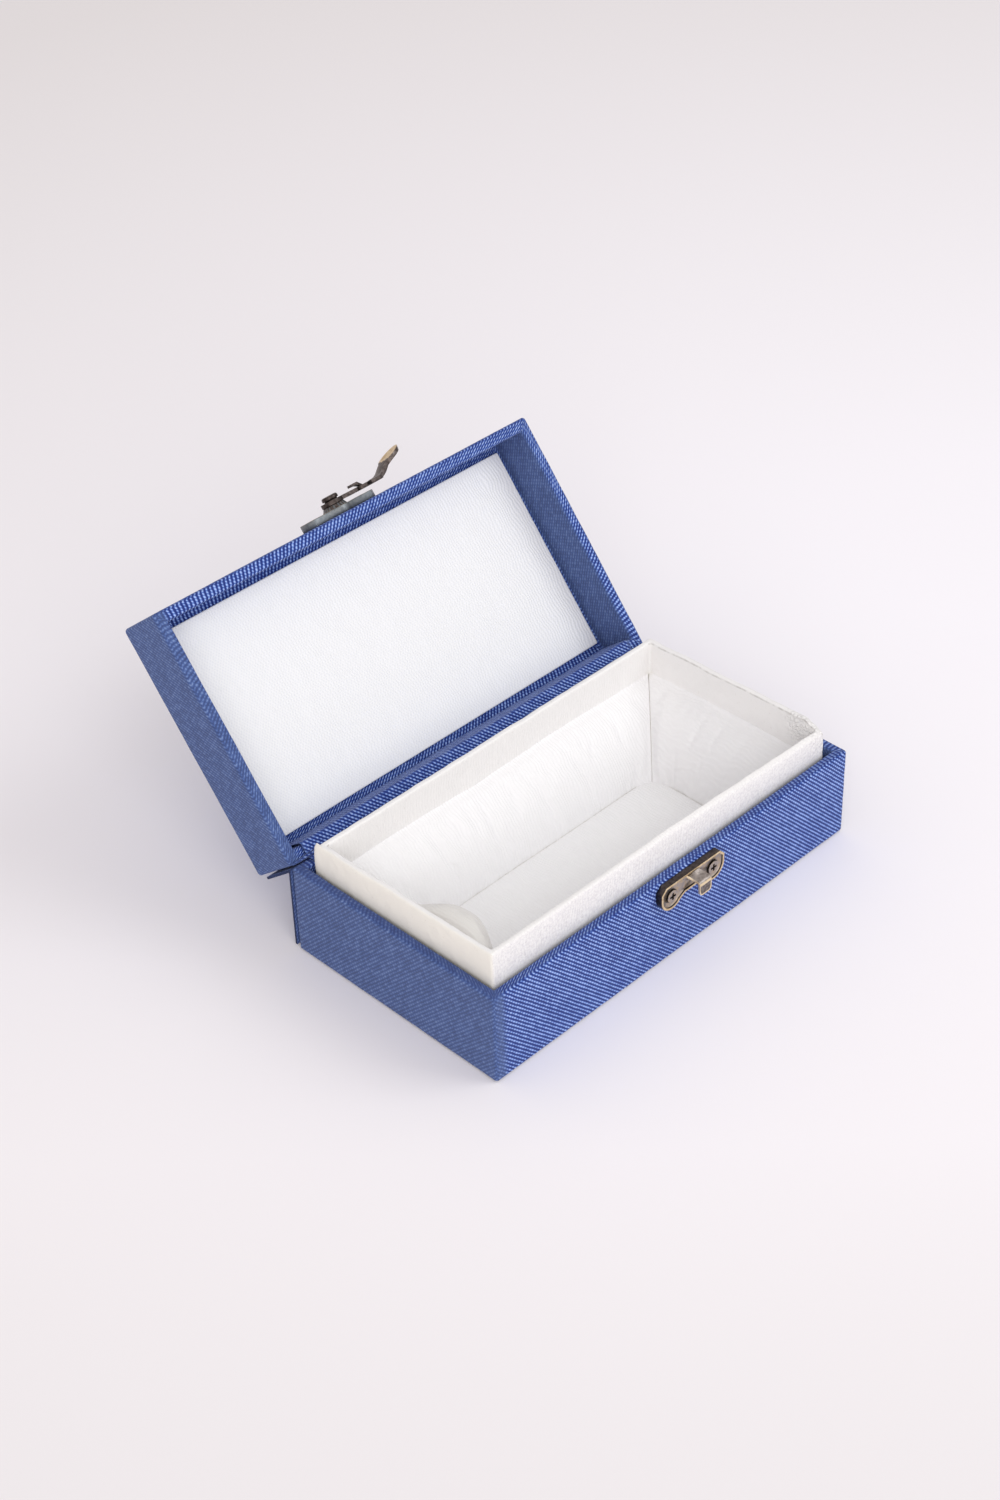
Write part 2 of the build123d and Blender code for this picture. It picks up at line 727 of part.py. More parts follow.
with BuildPart() as lever:
    with BuildSketch(latch_side):
        with BuildLine():
            low_start, low_end = lever_curve(lever_low)
            top_start, top_end = lever_curve(lever_top)
            Line(low_start, top_start)
            Line(low_end, top_end)
        make_face()
    extrude(amount=2 * lever_head_trailing, both=True)
    with BuildSketch(latch_frame):
        Circle(lever_eye_radius)
        with Locations((lever_tab_center / 2, 0)):
            Rectangle(lever_tab_center, lever_shank_width)
        head_center_x = (lever_head_start + lever_head_end) / 2
        head_center_y = (lever_head_trailing - lever_head_leading) / 2
        with Locations((head_center_x, head_center_y)):
            head_x = lever_head_end - lever_head_start
            head_y = lever_head_leading + lever_head_trailing
            RectangleRounded(head_x, head_y, lever_head_radius)
        with Locations((lever_tab_center, 0)):
            Circle(lever_tab_radius)
    extrude(amount=lever_top + lever_end, mode=Mode.INTERSECT)
    with BuildSketch(latch_frame.offset(lever_low)):
        Circle(rivet_radius + running_fit)
    extrude(amount=lever_sheet, mode=Mode.SUBTRACT)
    with BuildSketch(latch_frame.offset(lever_low)):
        Circle(notch_outer)
        Circle(notch_inner, mode=Mode.SUBTRACT)
        with Locations((notch_outer, (notch_end - notch_outer) / 2)):
            Rectangle(2 * notch_outer, notch_end + notch_outer, mode=Mode.INTERSECT)
    extrude(amount=lever_sheet, mode=Mode.SUBTRACT)
    with Locations(dish_center):
        Sphere(tab_dish_radius, mode=Mode.SUBTRACT)
    lip_side = latch_side.offset(-(lever_head_trailing - lip_edge_gap - lip_width / 2))
    with BuildSketch(lip_side):
        lip_knee = lip_start - lip_rise
        Polygon(
            (lip_start, lever_top),
            (lip_start - lip_sheet, lever_top),
            (lip_knee - lip_sheet, lever_top + lip_rise - lip_sheet),
            (lip_end, lever_top + lip_rise - lip_sheet),
            (lip_end, lever_top + lip_rise),
            (lip_knee, lever_top + lip_rise),
            align=None,
        )
    extrude(amount=lip_width / 2, both=True)
save(lever, "lever")
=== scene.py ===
import json
import math

import bmesh
import bpy
import numpy as np
from mathutils import Matrix, Vector


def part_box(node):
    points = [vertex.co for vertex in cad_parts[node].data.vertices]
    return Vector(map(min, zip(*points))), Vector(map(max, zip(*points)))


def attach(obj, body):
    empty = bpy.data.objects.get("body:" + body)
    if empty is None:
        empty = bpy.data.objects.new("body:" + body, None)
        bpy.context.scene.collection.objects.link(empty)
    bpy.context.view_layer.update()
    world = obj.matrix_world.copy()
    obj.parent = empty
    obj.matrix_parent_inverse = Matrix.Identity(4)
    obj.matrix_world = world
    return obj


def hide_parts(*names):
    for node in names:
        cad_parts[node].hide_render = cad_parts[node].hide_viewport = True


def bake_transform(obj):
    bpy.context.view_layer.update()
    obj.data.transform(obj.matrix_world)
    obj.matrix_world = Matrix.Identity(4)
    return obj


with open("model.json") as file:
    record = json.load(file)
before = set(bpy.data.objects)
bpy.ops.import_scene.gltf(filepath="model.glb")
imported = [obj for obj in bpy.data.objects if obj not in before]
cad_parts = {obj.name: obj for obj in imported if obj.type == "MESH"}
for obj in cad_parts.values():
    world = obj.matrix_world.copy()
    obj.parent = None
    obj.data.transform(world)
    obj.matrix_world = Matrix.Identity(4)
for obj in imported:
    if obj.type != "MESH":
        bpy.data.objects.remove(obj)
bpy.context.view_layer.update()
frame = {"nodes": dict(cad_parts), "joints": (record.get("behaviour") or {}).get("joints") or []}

mm = 0.001
nodes = frame["nodes"]
joints = {joint["name"]: joint for joint in frame["joints"]}

# Sizes of the frame: the base's cloth and boards give the box, its walls and its cloth
base_box_low, base_box_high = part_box("base_cover_cloth")
half_x = base_box_high.x
half_y = base_box_high.y
base_low = base_box_low.z
base_high = base_box_high.z
cloth = base_box_high.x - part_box("base_right_board")[1].x
base_wall = base_box_high.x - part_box("base_right_board")[0].x + cloth
lid_wall = base_box_high.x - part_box("lid_right_board")[0].x + cloth
base_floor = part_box("base_bottom_board")[1].z + cloth - base_low
lid_floor = lid_wall
hinge_point = Vector(joints["lid_hinge"]["pos_m"])
open_turn = math.radians(-joints["lid_hinge"]["range_deg"][0])
rim_gap = 2 * (hinge_point.z - base_high)
lid_height = 18.2 * mm
outside_turn_in = 10 * mm
inside_turn_in = 6 * mm
corner_radius = 1.0 * mm
rim_radius = 0.8 * mm
fold_radius = 0.45 * mm

# The lid's frame: X along the box, Y away from the hinge, Z from the outer top to the rim
lid_up = Vector((0, math.sin(open_turn), math.cos(open_turn)))
lid_back = Vector((0, math.cos(open_turn), -math.sin(open_turn)))
lid_origin = hinge_point + lid_up * (lid_height + rim_gap / 2) - lid_back * half_y
lid_ways = Matrix(((1, 0, 0), -lid_back, -lid_up)).transposed()
lid_frame = Matrix.Translation(lid_origin) @ lid_ways.to_4x4()
base_frame = Matrix.Translation((0, 0, base_low))


# Shader nodes
def srgb(red, green, blue):
    """A colour given as it shows, 0 to 255, as the shader's own linear numbers."""
    linear = [
        part / 12.92 if part <= 0.04045 else ((part + 0.055) / 1.055) ** 2.4
        for part in (red / 255, green / 255, blue / 255)
    ]
    return (*linear, 1.0)


class Finish:
    """A material built node by node."""

    def __init__(self, name, **shader_values):
        self.material = bpy.data.materials.new(name)
        self.material.use_nodes = True
        self.tree = self.material.node_tree
        self.shader = self.tree.nodes["Principled BSDF"]
        for socket, value in shader_values.items():
            self.shader.inputs[socket.replace("_", " ")].default_value = value

    def add(self, kind, inputs=None, **settings):
        """One node, its settings and its inputs, which are numbers or other nodes' outputs."""
        node = self.tree.nodes.new("ShaderNode" + kind)
        for key, value in settings.items():
            setattr(node, key, value)
        for socket, value in (inputs or {}).items():
            if isinstance(value, bpy.types.NodeSocket):
                self.tree.links.new(value, node.inputs[socket])
            else:
                node.inputs[socket].default_value = value
        return node

    def math(self, operation, *values):
        """The result of one sum."""
        return self.add("Math", dict(enumerate(values)), operation=operation).outputs[0]

    def noise(self, scale, detail=2.0, vector=None, roughness=0.5):
        """Soft noise from 0 to 1 over places in millimetres, the object's own if none are given."""
        if vector is None:
            vector = self.places()
        inputs = {"Vector": vector, "Scale": scale, "Detail": detail, "Roughness": roughness}
        return self.add("TexNoise", inputs).outputs["Fac"]

    def places(self):
        """The object's own places in millimetres."""
        where = self.add("TexCoord").outputs["Object"]
        return self.add("VectorMath", {0: where, 1: (1000, 1000, 1000)}, operation="MULTIPLY").outputs[0]

    def parts(self, vector):
        """The three numbers of a place or a normal."""
        return tuple(self.add("SeparateXYZ", {"Vector": vector}).outputs)

    def normals(self):
        """The three numbers of the surface's own normal."""
        return self.parts(self.add("TexCoord").outputs["Normal"])

    def times(self, value, *others):
        """A value times one or more others."""
        for other in others:
            value = self.math("MULTIPLY", value, other)
        return value

    def ramp(self, value, *stops):
        """Colours or greys along a value: (place, colour) pairs."""
        node = self.add("ValToRGB", {"Fac": value})
        band = node.color_ramp
        while len(band.elements) < len(stops):
            band.elements.new(0.5)
        for element, (place, colour) in zip(band.elements, stops):
            element.position = place
            element.color = colour if hasattr(colour, "__len__") else (colour, colour, colour, 1)
        return node.outputs["Color"]

    def mix(self, share, first, second, blend="MIX"):
        """Two colours mixed."""
        inputs = {0: share, 6: first, 7: second}
        return self.add("Mix", inputs, data_type="RGBA", blend_type=blend).outputs[2]

    def bump(self, height, distance, strength=1.0, normal=None):
        """A normal from heights, with their size in metres."""
        inputs = {"Height": height, "Distance": distance, "Strength": strength}
        if normal is not None:
            inputs["Normal"] = normal
        return self.add("Bump", inputs).outputs["Normal"]

    def set(self, socket, value):
        """Joins a value to the shader."""
        self.tree.links.new(value, self.shader.inputs[socket])

    def joined(self, socket):
        """The value that is joined to the shader so far."""
        return self.shader.inputs[socket].links[0].from_socket


def weave_axes(finish, rib_pitch, thread_pitch, waver):
    """The woven map in millimetres, and the turns across its ribs and along them."""
    uv = finish.add("UVMap", uv_map="weave").outputs["UV"]
    drift = finish.add("TexNoise", {"Vector": uv, "Scale": 0.35, "Detail": 3.0}).outputs["Color"]
    shift = finish.add("VectorMath", {0: drift, 1: (waver, waver, 0)}, operation="MULTIPLY").outputs[0]
    x, y, _ = finish.parts(finish.add("VectorMath", {0: uv, 1: shift}, operation="ADD").outputs[0])
    diagonal = math.sqrt(0.5)
    across = finish.times(finish.math("ADD", x, y), diagonal / rib_pitch)
    along = finish.times(finish.math("SUBTRACT", x, y), diagonal / thread_pitch)
    return uv, across, along


def wave_of(finish, turns):
    """A smooth wave from 0 to 1 over whole turns."""
    wave = finish.math("COSINE", finish.times(turns, 2 * math.pi))
    return finish.math("MULTIPLY_ADD", wave, 0.5, 0.5)


def bookcloth():
    """Blue ribbed bookcloth: slanting ribs of short uneven bright threads over a dark ground.

    Painted shade makes the ribs fainter and greyer on the box's ends and along its left rim, and makes the
    cloth darker on top.
    """
    row_shift = 0.37
    mean_height = 0.42
    rim_reach = 10.0
    finish = Finish("blue_bookcloth", Roughness=0.8, Specular_IOR_Level=0.25, Sheen_Weight=0.1)
    uv, across, along = weave_axes(finish, rib_pitch=0.95, thread_pitch=1.2, waver=0.15)
    row = finish.math("FLOOR", finish.math("ADD", across, 0.5))
    shifted = finish.math("MULTIPLY_ADD", row, row_shift, along)
    cell = finish.math("FLOOR", finish.math("ADD", shifted, 0.5))
    place = finish.add("CombineXYZ", {"X": row, "Y": cell}).outputs[0]
    chance = finish.add("TexWhiteNoise", {"Vector": place}, noise_dimensions="2D").outputs["Value"]
    thread = finish.math("MULTIPLY_ADD", wave_of(finish, shifted), 0.5, 0.5)
    raised = finish.times(wave_of(finish, across), thread)
    fibre = finish.noise(3.2, 4.0, uv, 0.7)
    patch = finish.noise(0.12, 3.0)
    # Painted shade: upward faces darken, and the end walls and the left rim grey with fainter ribs
    normal_x, _, normal_z = finish.normals()
    top_shade = finish.ramp(normal_z, (0.7, 0.0), (0.95, 1.0))
    place_x = finish.parts(finish.places())[0]
    near_left = finish.math("MULTIPLY_ADD", place_x, -1 / rim_reach, 1 - half_x / mm / rim_reach)
    rim_shade = finish.ramp(near_left, (0.55, 0.0), (0.75, 0.9))
    end_shade = finish.math("MAXIMUM", finish.math("ABSOLUTE", normal_x), rim_shade)
    strength = finish.math("MULTIPLY_ADD", end_shade, -0.65, 1.15)
    raised = finish.math("MULTIPLY_ADD", finish.math("SUBTRACT", raised, mean_height), strength, 0.4)
    tone = raised
    for unevenness, size in ((chance, 0.28), (fibre, 0.9), (patch, 0.22)):
        tone = finish.math("ADD", tone, finish.math("MULTIPLY_ADD", unevenness, size, -size / 2))
    colour = finish.ramp(
        tone,
        (0.1, srgb(28, 48, 118)),
        (0.36, srgb(58, 88, 166)),
        (0.6, srgb(104, 135, 208)),
        (0.92, srgb(166, 190, 242)),
    )
    # Painted shade: grey on the ends and the left rim, darker blue on top
    end_shaded = finish.mix(finish.times(end_shade, 0.62), colour, srgb(74, 89, 120))
    finish.set("Base Color", finish.mix(finish.times(top_shade, 0.4), end_shaded, srgb(44, 62, 124)))
    height = finish.math("MULTIPLY_ADD", fibre, 0.5, raised)
    finish.set("Normal", finish.bump(height, 0.2 * mm, 0.9))
    return finish.material


def satin(name, colour, shade, fold_shade_colour=(228, 226, 214)):
    """White satin: a fine close weave, painted wandering bands of sheen, and painted creamy shade in its
    folds.
    """
    finish = Finish(name, Roughness=0.5, Specular_IOR_Level=0.35, Sheen_Weight=0.12, Sheen_Roughness=0.4)
    where = finish.places()
    cloud = finish.noise(0.09, 4.0, where)
    grain = finish.noise(2.0, 3.0, where)
    # Painted sheen: wandering bands lighten the colour, and also raise the bump
    band = finish.add(
        "TexWave", {"Vector": where, "Scale": 0.3, "Distortion": 11.0, "Detail": 2.0, "Detail Scale": 0.45}
    ).outputs["Fac"]
    tone = finish.math("MULTIPLY_ADD", grain, 0.35, finish.times(cloud, 0.4))
    tone = finish.math("MULTIPLY_ADD", band, 0.25, tone)
    dark = tuple(part * shade for part in colour[:3]) + (1.0,)
    # Painted shade: a creamy colour in folds and creases, where little is open round a point
    open_share = finish.add("AmbientOcclusion", {"Distance": 3.5 * mm}, samples=8).outputs["AO"]
    fold = finish.ramp(open_share, (0.1, srgb(*fold_shade_colour)), (0.6, srgb(255, 255, 255)))
    finish.set("Base Color", finish.mix(1.0, finish.mix(tone, dark, colour), fold, "MULTIPLY"))
    height = finish.math("MULTIPLY_ADD", grain, 0.8, finish.times(band, 1.2))
    finish.set("Normal", finish.bump(height, 0.06 * mm, 0.9))
    return finish


def neck_finish():
    """The tray's outer satin.

    It has a painted grey line of shade along the inner top edge of its end walls, crepe-like grain
    with painted sheen on the front, and painted warm light on the left; it is specked all over, and
    crumpled at the front right corner.
    """
    shade_line_place = 0.9
    end_reach = 2.6
    crumpled_corner = (64, -28, 35)
    finish = satin("neck_satin_finish", srgb(240, 238, 237), 0.95)
    where = finish.places()
    place_x, place_y, _ = finish.parts(where)
    normal_x, normal_y, _ = finish.normals()
    over = finish.parts(finish.add("UVMap", uv_map="weave").outputs["UV"])[1]
    at_left = finish.math("LESS_THAN", place_x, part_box("tray_left_card")[0].x / mm + end_reach)
    at_right = finish.math("GREATER_THAN", place_x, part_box("tray_right_card")[1].x / mm - end_reach)
    # Painted shade: a patchy grey line along the inner top edge of the end walls
    off_line = finish.math("ABSOLUTE", finish.math("SUBTRACT", over, shade_line_place))
    line = finish.ramp(off_line, (0.1, 0.8), (0.42, 0.0))
    patchy = finish.ramp(finish.noise(0.35, 4.0, where), (0.38, 0.15), (0.6, 1.0))
    wear_and_shade = finish.times(line, finish.math("ADD", at_left, at_right), patchy)
    # Grain on the front faces, mottled with painted sheen
    forward = finish.math("MAXIMUM", finish.times(normal_y, -1.0), 0.0)
    mottle = finish.ramp(finish.noise(1.5, 4.0, where, 0.7), (0.42, 0.0), (0.64, 0.5))
    grain_and_sheen = finish.times(mottle, forward, finish.math("LESS_THAN", place_y, 0.0))
    # Painted warm light: the left wall's left-facing faces are tinted warm
    leftward = finish.math("MAXIMUM", finish.times(normal_x, -1.0), 0.0)
    speck = finish.ramp(finish.noise(0.9, 5.0, where, 0.75), (0.62, 0.0), (0.72, 0.25))
    face = finish.joined("Base Color")
    for share, tint in (
        (wear_and_shade, srgb(190, 186, 182)),
        (grain_and_sheen, srgb(198, 194, 199)),
        (finish.times(leftward, at_left, 0.5), srgb(240, 234, 217)),
        (speck, srgb(176, 160, 146)),
    ):
        face = finish.mix(share, face, tint)
    finish.set("Base Color", face)
    away = finish.add("VectorMath", {0: where, 1: crumpled_corner}, operation="DISTANCE").outputs["Value"]
    crumpled = finish.ramp(finish.times(away, 0.08), (0.3, 1.0), (0.8, 0.0))
    cells = finish.add("TexVoronoi", {"Vector": where, "Scale": 0.75}, feature="DISTANCE_TO_EDGE")
    height = finish.times(finish.math("MINIMUM", cells.outputs["Distance"], 0.25), crumpled)
    finish.set("Normal", finish.bump(height, 1.2 * mm, 0.8, finish.joined("Normal")))
    return finish.material


def panel_finish():
    """The lid's satin: drawn flat, with the faint dots of its weave."""
    finish = satin("panel_satin_finish", srgb(238, 238, 239), 0.98)
    x, _, z = finish.parts(finish.places())
    first = wave_of(finish, finish.math("ADD", x, z))
    second = wave_of(finish, finish.math("SUBTRACT", x, z))
    dot = finish.times(first, second, 0.4)
    finish.set("Base Color", finish.mix(dot, finish.joined("Base Color"), srgb(212, 214, 222)))
    return finish.material


def card(name, dark, light, speck_scale):
    """Pressed board or card: flecks of fibre in a matt sheet."""
    finish = Finish(name, Roughness=0.88, Specular_IOR_Level=0.25)
    fleck = finish.noise(speck_scale, 5.0, roughness=0.7)
    cloud = finish.noise(0.08, 2.0)
    tone = finish.math("MULTIPLY_ADD", fleck, 0.7, finish.times(cloud, 0.3))
    finish.set("Base Color", finish.ramp(tone, (0.35, dark), (0.65, light)))
    finish.set("Normal", finish.bump(fleck, 0.05 * mm))
    return finish.material


def antique_brass():
    """Brass, dark with patina and painted shade in its hollows, rubbed bright where its rubbing is high, and
    bluish grey where it has a painted reflection.
    """
    patina = srgb(40, 34, 32)
    finish = Finish("antique_brass", Metallic=1.0)
    where = finish.places()
    wear_and_shade = finish.add("Attribute", attribute_name="rubbing_and_shade").outputs["Fac"]
    blotch = finish.noise(1.1, 4.0, where)
    scuff = finish.noise(5.0, 3.0, where)
    # Patina and painted shade: hollows darken where little is open round a point
    open_share = finish.add("AmbientOcclusion", {"Distance": 3 * mm}, samples=8).outputs["AO"]
    tone = finish.math("MULTIPLY_ADD", blotch, 0.5, finish.math("ADD", wear_and_shade, -0.25))
    colour = finish.ramp(
        tone,
        (0.0, patina),
        (0.3, srgb(92, 83, 80)),
        (0.55, srgb(172, 162, 156)),
        (0.75, srgb(196, 166, 122)),
        (1.0, srgb(240, 220, 184)),
    )
    # Painted reflection: a bluish grey on the latch plate's sides
    cool_reflection = finish.add("Attribute", attribute_name="cool_reflection").outputs["Fac"]
    colour = finish.mix(cool_reflection, colour, srgb(118, 128, 134))
    patina_and_shade = finish.ramp(open_share, (0.1, patina), (0.65, srgb(255, 255, 255)))
    finish.set("Base Color", finish.mix(1.0, colour, patina_and_shade, "MULTIPLY"))
    finish.set("Roughness", finish.math("MULTIPLY_ADD", scuff, 0.25, 0.28))
    finish.set("Normal", finish.bump(scuff, 0.03 * mm, 0.5))
    return finish.material


blue_bookcloth = bookcloth()
tray_satin = neck_finish()
lining_satin = satin("lining_satin", srgb(241, 240, 241), 0.95).material
# The left lining's satin is the lining satin in a shaded copy: painted shade
shaded_satin = satin("end_lining_satin_painted_shade", srgb(224, 221, 217), 0.97, (246, 245, 240)).material
panel_satin = panel_finish()
board_finish = card("box_board", srgb(150, 118, 82), srgb(196, 164, 122), 1.4)
card_finish = card("grey_card", srgb(138, 134, 128), srgb(178, 174, 168), 2.2)
# The cloth's cut edge, painted dark for the shade in the gap beside it
shaded_cut_edge = card("cut_cloth_edge_painted_shade", srgb(22, 30, 58), srgb(52, 64, 104), 4.0)
paper_finish = card("bottom_paper", srgb(30, 42, 92), srgb(46, 62, 122), 3.5)
brass = antique_brass()


# Meshes; a ring has steps along its long sides, along its short sides and in its corners
cloth_steps = (100, 54, 5)
neck_steps = (170, 90, 6)
card_steps = (90, 44, 5)


def waves(points, length, size, seed):
    """Smooth unevenness of about that length and size, either way, the same on every run."""
    random = np.random.default_rng(seed)
    total = np.zeros(len(points))
    usual_peak = 2.6
    for _ in range(8):
        way = random.normal(size=3)
        way *= 2 * math.pi / (length * random.uniform(0.7, 1.6) * np.linalg.norm(way))
        total += np.sin(points @ way + random.uniform(0, 2 * math.pi))
    return total / usual_peak * size


def rounded_ring(size_x, size_y, radius, steps):
    """Points round a rounded rectangle, counterclockwise from its left front corner."""
    *side_steps, corner_steps = steps
    arcs = []
    for quarter, (sign_x, sign_y) in enumerate(((-1, -1), (1, -1), (1, 1), (-1, 1))):
        center = np.array((sign_x * (size_x - radius), sign_y * (size_y - radius)))
        angles = np.radians(np.linspace(180, 270, corner_steps + 1) + 90 * quarter)
        arcs.append(center + radius * np.stack((np.cos(angles), np.sin(angles)), axis=1))
    points = []
    for arc, following, count in zip(arcs, arcs[1:] + arcs[:1], side_steps * 2):
        shares = np.arange(1, count)[:, None] / count
        points += [arc, arc[-1] * (1 - shares) + following[0] * shares]
    return np.concatenate(points)


def path_lengths(points):
    """Distance along a line to each of its points."""
    return np.concatenate(((0,), np.cumsum(np.linalg.norm(np.diff(points, axis=0), axis=1))))


def ring_lengths(ring):
    """Distance round a closed ring to each point, and back to the first."""
    return path_lengths(np.vstack((ring, ring[:1])))


def ring_rows(profile, size_x, size_y, radius_at, steps):
    """Rings of points at each inset and height of a profile."""
    rows = []
    for inset, level in profile:
        ring = rounded_ring(size_x - inset, size_y - inset, radius_at(inset), steps)
        rows.append(np.column_stack((ring, np.full(len(ring), level))))
    return np.array(rows)


def swell_rings(rows, outline, swell):
    """Moves rings of points outwards from the middle of their outline."""
    outward = outline / np.linalg.norm(outline, axis=1)[:, None]
    rows[:, :, :2] += outward * swell.reshape(rows.shape[:2])[:, :, None]


def flat_places(across, along):
    """Places on the flat cloth of a grid's points."""
    return np.stack(np.meshgrid(across, along), axis=-1)


def rows_mesh(name, rows, closed, caps):
    """A mesh through rows of points, and the corners of its faces as rows and steps along them."""
    count_rows, count = rows.shape[:2]
    marks = [
        ((row, step), (row, step + 1), (row + 1, step + 1), (row + 1, step))
        for row in range(count_rows - 1)
        for step in range(count if closed else count - 1)
    ]
    for row in caps:
        around = range(count) if row == count_rows - 1 else range(count - 1, -1, -1)
        marks.append(tuple((row, step) for step in around))
    faces = [tuple(row * count + step % count for row, step in face) for face in marks]
    mesh = bpy.data.meshes.new(name)
    mesh.from_pydata(rows.reshape(-1, 3).tolist(), [], faces)
    return mesh, marks


def grid_mesh(name, rows, weave, closed, caps=(), mirrored=()):
    """A smooth piece through rows of points; weave holds each point's place on the flat cloth."""
    mesh, marks = rows_mesh(name, rows, closed, caps)
    layer = mesh.uv_layers.new(name="weave")
    corners = [
        weave[row, step] * (-1 if face[0] in mirrored else 1, 1) for face in marks for row, step in face
    ]
    layer.data.foreach_set("uv", np.array(corners, np.float32).ravel())
    return show(name, mesh)


def closed_form(name, rows):
    """A closed smooth piece through rings of points, capped at both ends."""
    mesh, _ = rows_mesh(name, rows, True, (0, len(rows) - 1))
    form = bmesh.new()
    form.from_mesh(mesh)
    bmesh.ops.recalc_face_normals(form, faces=form.faces)
    form.to_mesh(mesh)
    form.free()
    return show(name, mesh)


def place_object(name, data):
    """A new object in the scene."""
    made = bpy.data.objects.new(name, data)
    bpy.context.scene.collection.objects.link(made)
    return made


def show(name, mesh, sharp_angle=50):
    """An object for a mesh, smooth apart from its sharp edges."""
    mesh.shade_smooth()
    mesh.set_sharp_from_angle(angle=math.radians(sharp_angle))
    return place_object(name, mesh)


def apply_modifiers(piece):
    """The piece's mesh with its modifiers worked in."""
    graph = bpy.context.evaluated_depsgraph_get()
    made = bpy.data.meshes.new_from_object(piece.evaluated_get(graph))
    piece.modifiers.clear()
    piece.data = made


def thicken(piece, thickness, offset=-1, rim_slot=0):
    """Gives a sheet its thickness, inwards from its outer face, or outwards with an offset of 1."""
    solid = piece.modifiers.new("thickness", "SOLIDIFY")
    solid.thickness = thickness
    solid.offset = offset
    solid.material_offset_rim = rim_slot
    apply_modifiers(piece)


def dress(piece, body, material, slot, *replaced):
    """Puts the piece on its body with its finish and the nodes that it stands for."""
    piece.data.materials.clear()
    piece.data.materials.append(material)
    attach(piece, body)
    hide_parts(*replaced)


def to_world(points, placing):
    """Points of a local frame in the shared frame."""
    turn = np.array(placing)[:3, :3]
    return points @ turn.T + np.array(placing.translation)


# Cloth round the base and the lid
fold_steps = 4
climb_steps = 15
rim_steps = 5
cover_thickness = 0.4 * mm


def quarter_arc(steps):
    """Sine and one minus cosine over a quarter turn, without its first point."""
    angles = np.linspace(0, math.pi / 2, steps + 1)[1:]
    return [(math.sin(angle), 1 - math.cos(angle)) for angle in angles]


def wall_profile(height, wall, floor, starts):
    """Inset and height along the cloth, from the underside round the rim to the inner floor."""
    rim_arc = [(rim_radius * rise, rim_radius * (1 - side)) for side, rise in quarter_arc(rim_steps)]
    points = [(inset, 0.0) for inset in starts] + [(fold_radius, 0.0)]
    points += [(fold_radius * (1 - side), fold_radius * rise) for side, rise in quarter_arc(fold_steps)]
    points += [(0.0, level) for level in np.linspace(fold_radius, height - rim_radius, climb_steps + 1)[1:]]
    points += [(inset, height - drop) for inset, drop in rim_arc]
    points += [(wall / 2, height), (wall - rim_radius, height)]
    points += [(wall - drop, height - inset) for inset, drop in rim_arc]
    points += [(wall, level) for level in np.linspace(height - rim_radius, floor + fold_radius, 12)[1:]]
    points += [(wall + fold_radius * rise, floor + fold_radius * (1 - side)) for side, rise in quarter_arc(3)]
    points += [(wall + inset, floor) for inset in (2 * mm, 4 * mm, inside_turn_in)]
    return np.array(points)


def box_cloth(name, placing, height, wall, floor, starts, seed, capped):
    """The cloth of the base or the lid as one wrapped sheet, its ribs mirrored over the rim."""
    def radius_at(inset):
        """Corner radius of the cloth: round outside, almost square inside."""
        return max(corner_radius - inset, 0.15 * mm) if inset < wall / 2 else 0.35 * mm

    profile = wall_profile(height, wall, floor, starts)
    outer = rounded_ring(half_x, half_y, corner_radius, cloth_steps)
    rows = ring_rows(profile, half_x, half_y, radius_at, cloth_steps)
    travel = path_lengths(profile)
    # The ribs turn back in the rim's outer arc
    rim_row = len(starts) + fold_steps + climb_steps + 3
    weave = flat_places(ring_lengths(outer), -np.abs(travel - travel[rim_row]))
    under_rows = len(starts) + 1
    for row in range(under_rows):
        weave[row] = np.vstack((rows[row], rows[row][:1]))[:, :2] * (1, -1)
    flat = rows.reshape(-1, 3)
    swell = waves(flat, 22 * mm, 0.035 * mm, seed) + waves(flat, 5 * mm, 0.02 * mm, seed + 1)
    swell_rings(rows, outer, swell)
    flat[:, 2] += np.where(flat[:, 2] > floor, waves(flat, 9 * mm, 0.03 * mm, seed + 2), 0)
    middle = (outer + np.roll(outer, -1, axis=0)) / 2
    at_ends = half_x - np.abs(middle[:, 0]) < half_y - np.abs(middle[:, 1])
    mirrored = {(row, int(step)) for row in range(under_rows, len(rows)) for step in np.flatnonzero(at_ends)}
    placed = to_world(flat, placing).reshape(rows.shape)
    piece = grid_mesh(name, placed, weave / mm, True, (0,) if capped else (), mirrored)
    thicken(piece, cover_thickness)
    return piece


def cover_area(height, wall, floor, turn_in):
    """Area of a box's cloth laid flat, from its strips."""
    def ring_area(inset, width):
        return 4 * ((half_x - inset) * (half_y - inset) - (half_x - inset - width) * (half_y - inset - width))

    walls = 4 * (half_x + half_y) * height + 4 * (half_x + half_y - 2 * wall) * (height - floor)
    return walls + ring_area(0, turn_in) + ring_area(0, wall) + ring_area(wall, inside_turn_in)


base_starts = (outside_turn_in, 7 * mm, 4 * mm, 2 * mm)
lid_starts = tuple(half_y - share * half_y for share in (0.02, 0.2, 0.4, 0.6, 0.8, 0.9, 0.96))
base_sizes = (base_high - base_low, base_wall, base_floor)
lid_sizes = (lid_height, lid_wall, lid_floor)
for body, placing, sizes, starts, turn_in, seed, boards in (
    ("base", base_frame, base_sizes, base_starts, outside_turn_in, 11, ("front", "back", "left", "right")),
    ("lid", lid_frame, lid_sizes, lid_starts, half_y, 23, ("top", "front", "back", "left", "right")),
):
    height, wall, floor = sizes
    cover = box_cloth(f"{body}_cover", placing, *sizes, starts, seed, body == "lid")
    dress(cover, body, blue_bookcloth, "blue_bookcloth", f"{body}_cover_cloth")
    cover_area(height, wall, floor, turn_in)


